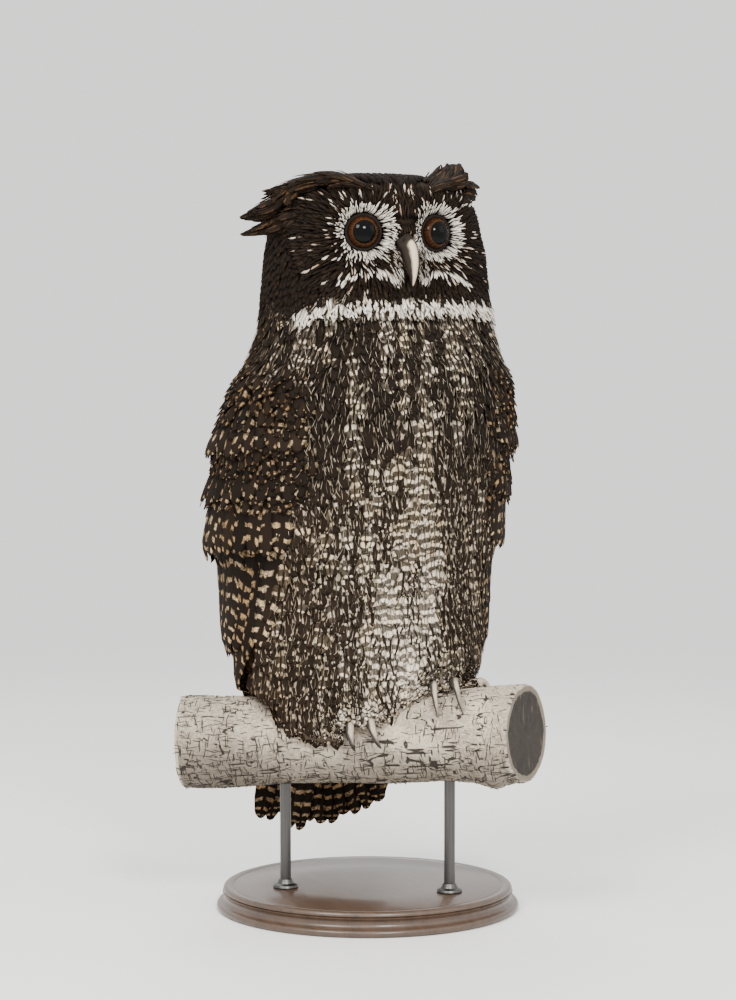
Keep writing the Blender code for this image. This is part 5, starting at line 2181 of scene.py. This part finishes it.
class EAGLEOWL_PG_coat(PropertyGroup):
    """Sizes of the plumage"""
    depth: measure(
        "Coat depth", "From the body feathers' surface in to the skin", 0.008, 0.003, 0.015
    )
    head_depth: measure(
        "Head coat depth", "From the head feathers' surface in to the skin", 0.0042, 0.002, 0.01
    )
    breast_length: measure("Breast feather", "Length of a breast feather", 0.036, 0.01, 0.08)
    bar_spacing: measure(
        "Bar spacing", "Between the cross bars of breast and belly", 0.0098, 0.003, 0.03
    )
    head_length: measure(
        "Head feather", "Length of a feather of the crown and cheeks", 0.0165, 0.005, 0.04
    )


class EAGLEOWL_PG_horn(PropertyGroup):
    """Colours of bill and claws"""
    bill: tint("Bill", "Sides of the bill", (0.018, 0.013, 0.010))
    # Pale ridge of the bill: worn horn and painted highlight.
    bill_ridge_and_highlight: tint("Bill ridge", "Worn ridge of the bill", (0.58, 0.47, 0.33))
    claw: tint("Claw", "Sides of the claws", (0.040, 0.036, 0.033))
    # Pale colour of the claws' faces that turn up and forward: painted highlight.
    claw_highlight: tint("Claw ridge", "Worn ridge of the claws", (0.60, 0.50, 0.37))


class EAGLEOWL_PG_mount(PropertyGroup):
    """Finish of the stand"""
    wood: tint("Base wood", "Stain of the turned base", (0.060, 0.034, 0.020))


class EAGLEOWL_PG_stage(PropertyGroup):
    """Camera and light"""
    azimuth: swing("Camera azimuth", "Round from the owl's front", -24)
    elevation: swing("Camera elevation", "Above the level", 3.5)
    distance: measure("Camera distance", "From the body's middle", 2.58, 1, 6)
    lens: FloatProperty(
        name="Lens", description="Focal length in millimetres", default=100, min=30, max=200,
    )
    light: FloatProperty(
        name="Light", description="Strength of the lamps", default=1.0, min=0, max=5,
    )
    ambient: FloatProperty(
        name="Ambient", description="Strength of the light from all round", default=1.50,
        min=0, max=3,
    )


class EAGLEOWL_PG_settings(PropertyGroup):
    """All settings of the model"""
    colours: PointerProperty(type=EAGLEOWL_PG_colours)
    coat: PointerProperty(type=EAGLEOWL_PG_coat)
    horn: PointerProperty(type=EAGLEOWL_PG_horn)
    mount: PointerProperty(type=EAGLEOWL_PG_mount)
    stage: PointerProperty(type=EAGLEOWL_PG_stage)


# Operators

class Maker:
    """What the operators share: each runs its makers on the scene's settings."""
    bl_options = {"REGISTER", "UNDO"}

    def execute(self, context):
        for make in self.makers:
            make(context.scene.eagle_owl)
        return {"FINISHED"}


class EAGLEOWL_OT_skin(Maker, Operator):
    """Make the one skin that stands for all the flesh"""
    bl_idname = "eagleowl.skin"
    bl_label = "Skin"
    makers = (make_skin,)


class EAGLEOWL_OT_body(Maker, Operator):
    """Cover breast, belly, flanks and back with feathers"""
    bl_idname = "eagleowl.body"
    bl_label = "Body feathers"
    makers = (make_body, make_down)


class EAGLEOWL_OT_head(Maker, Operator):
    """Cover the crown, cheeks and nape with small feathers"""
    bl_idname = "eagleowl.head"
    bl_label = "Head feathers"
    makers = (make_head,)


class EAGLEOWL_OT_face(Maker, Operator):
    """Lay the facial disc's fine feathers round the eyes"""
    bl_idname = "eagleowl.face"
    bl_label = "Face"
    makers = (make_face,)


class EAGLEOWL_OT_wings(Maker, Operator):
    """Fold both wings from tiers of coverts and quills"""
    bl_idname = "eagleowl.wings"
    bl_label = "Wings"
    makers = (make_wings,)


class EAGLEOWL_OT_tail(Maker, Operator):
    """Fan out the tail"""
    bl_idname = "eagleowl.tail"
    bl_label = "Tail"
    makers = (make_tail,)


class EAGLEOWL_OT_tufts(Maker, Operator):
    """Lay the brows and the ear tufts"""
    bl_idname = "eagleowl.tufts"
    bl_label = "Ear tufts"
    makers = (make_tufts,)


class EAGLEOWL_OT_feet(Maker, Operator):
    """Feather the shanks and toes"""
    bl_idname = "eagleowl.feet"
    bl_label = "Feathered feet"
    makers = (make_feet,)


class EAGLEOWL_OT_eyes(Maker, Operator):
    """Make the eyes"""
    bl_idname = "eagleowl.eyes"
    bl_label = "Eyes"
    makers = (make_eyes,)


class EAGLEOWL_OT_horn(Maker, Operator):
    """Make the bill and the claws"""
    bl_idname = "eagleowl.horn"
    bl_label = "Bill and claws"
    makers = (make_bill, make_claws)


class EAGLEOWL_OT_branch(Maker, Operator):
    """Make the cut branch"""
    bl_idname = "eagleowl.branch"
    bl_label = "Branch"
    makers = (make_branch,)


class EAGLEOWL_OT_stand(Maker, Operator):
    """Make the base and its rods"""
    bl_idname = "eagleowl.stand"
    bl_label = "Stand"
    makers = (make_stand,)


class EAGLEOWL_OT_stage(Maker, Operator):
    """Set up the floor, the lamps and the camera"""
    bl_idname = "eagleowl.stage"
    bl_label = "Stage"
    makers = (make_stage,)


OPERATORS = (
    EAGLEOWL_OT_skin, EAGLEOWL_OT_body, EAGLEOWL_OT_head, EAGLEOWL_OT_face,
    EAGLEOWL_OT_wings, EAGLEOWL_OT_tail, EAGLEOWL_OT_tufts, EAGLEOWL_OT_feet,
    EAGLEOWL_OT_eyes, EAGLEOWL_OT_horn, EAGLEOWL_OT_branch, EAGLEOWL_OT_stand,
    EAGLEOWL_OT_stage,
)


class EAGLEOWL_PT_panel(Panel):
    """Lists the model's pieces"""
    bl_label = "Eagle-owl"
    bl_idname = "EAGLEOWL_PT_panel"
    bl_space_type = "VIEW_3D"
    bl_region_type = "UI"
    bl_category = "Owl"

    def draw(self, context):
        for operator in OPERATORS:
            self.layout.operator(operator.bl_idname)
        settings = context.scene.eagle_owl
        for part in ("colours", "coat", "horn", "mount", "stage"):
            group = getattr(settings, part)
            box = self.layout.box()
            for name in group.bl_rna.properties.keys():
                if name not in ("rna_type", "name"):
                    box.prop(group, name)


CLASSES = (
    EAGLEOWL_PG_colours, EAGLEOWL_PG_coat, EAGLEOWL_PG_horn, EAGLEOWL_PG_mount,
    EAGLEOWL_PG_stage, EAGLEOWL_PG_settings,
    *OPERATORS, EAGLEOWL_PT_panel,
)


def register():
    for item in CLASSES:
        bpy.utils.register_class(item)
    bpy.types.Scene.eagle_owl = PointerProperty(type=EAGLEOWL_PG_settings)


def unregister():
    del bpy.types.Scene.eagle_owl
    for item in reversed(CLASSES):
        bpy.utils.unregister_class(item)


def main():
    register()
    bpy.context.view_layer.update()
    for operator in OPERATORS:
        getattr(bpy.ops.eagleowl, operator.bl_idname.split(".")[1])()


if __name__ == "__main__":
    main()
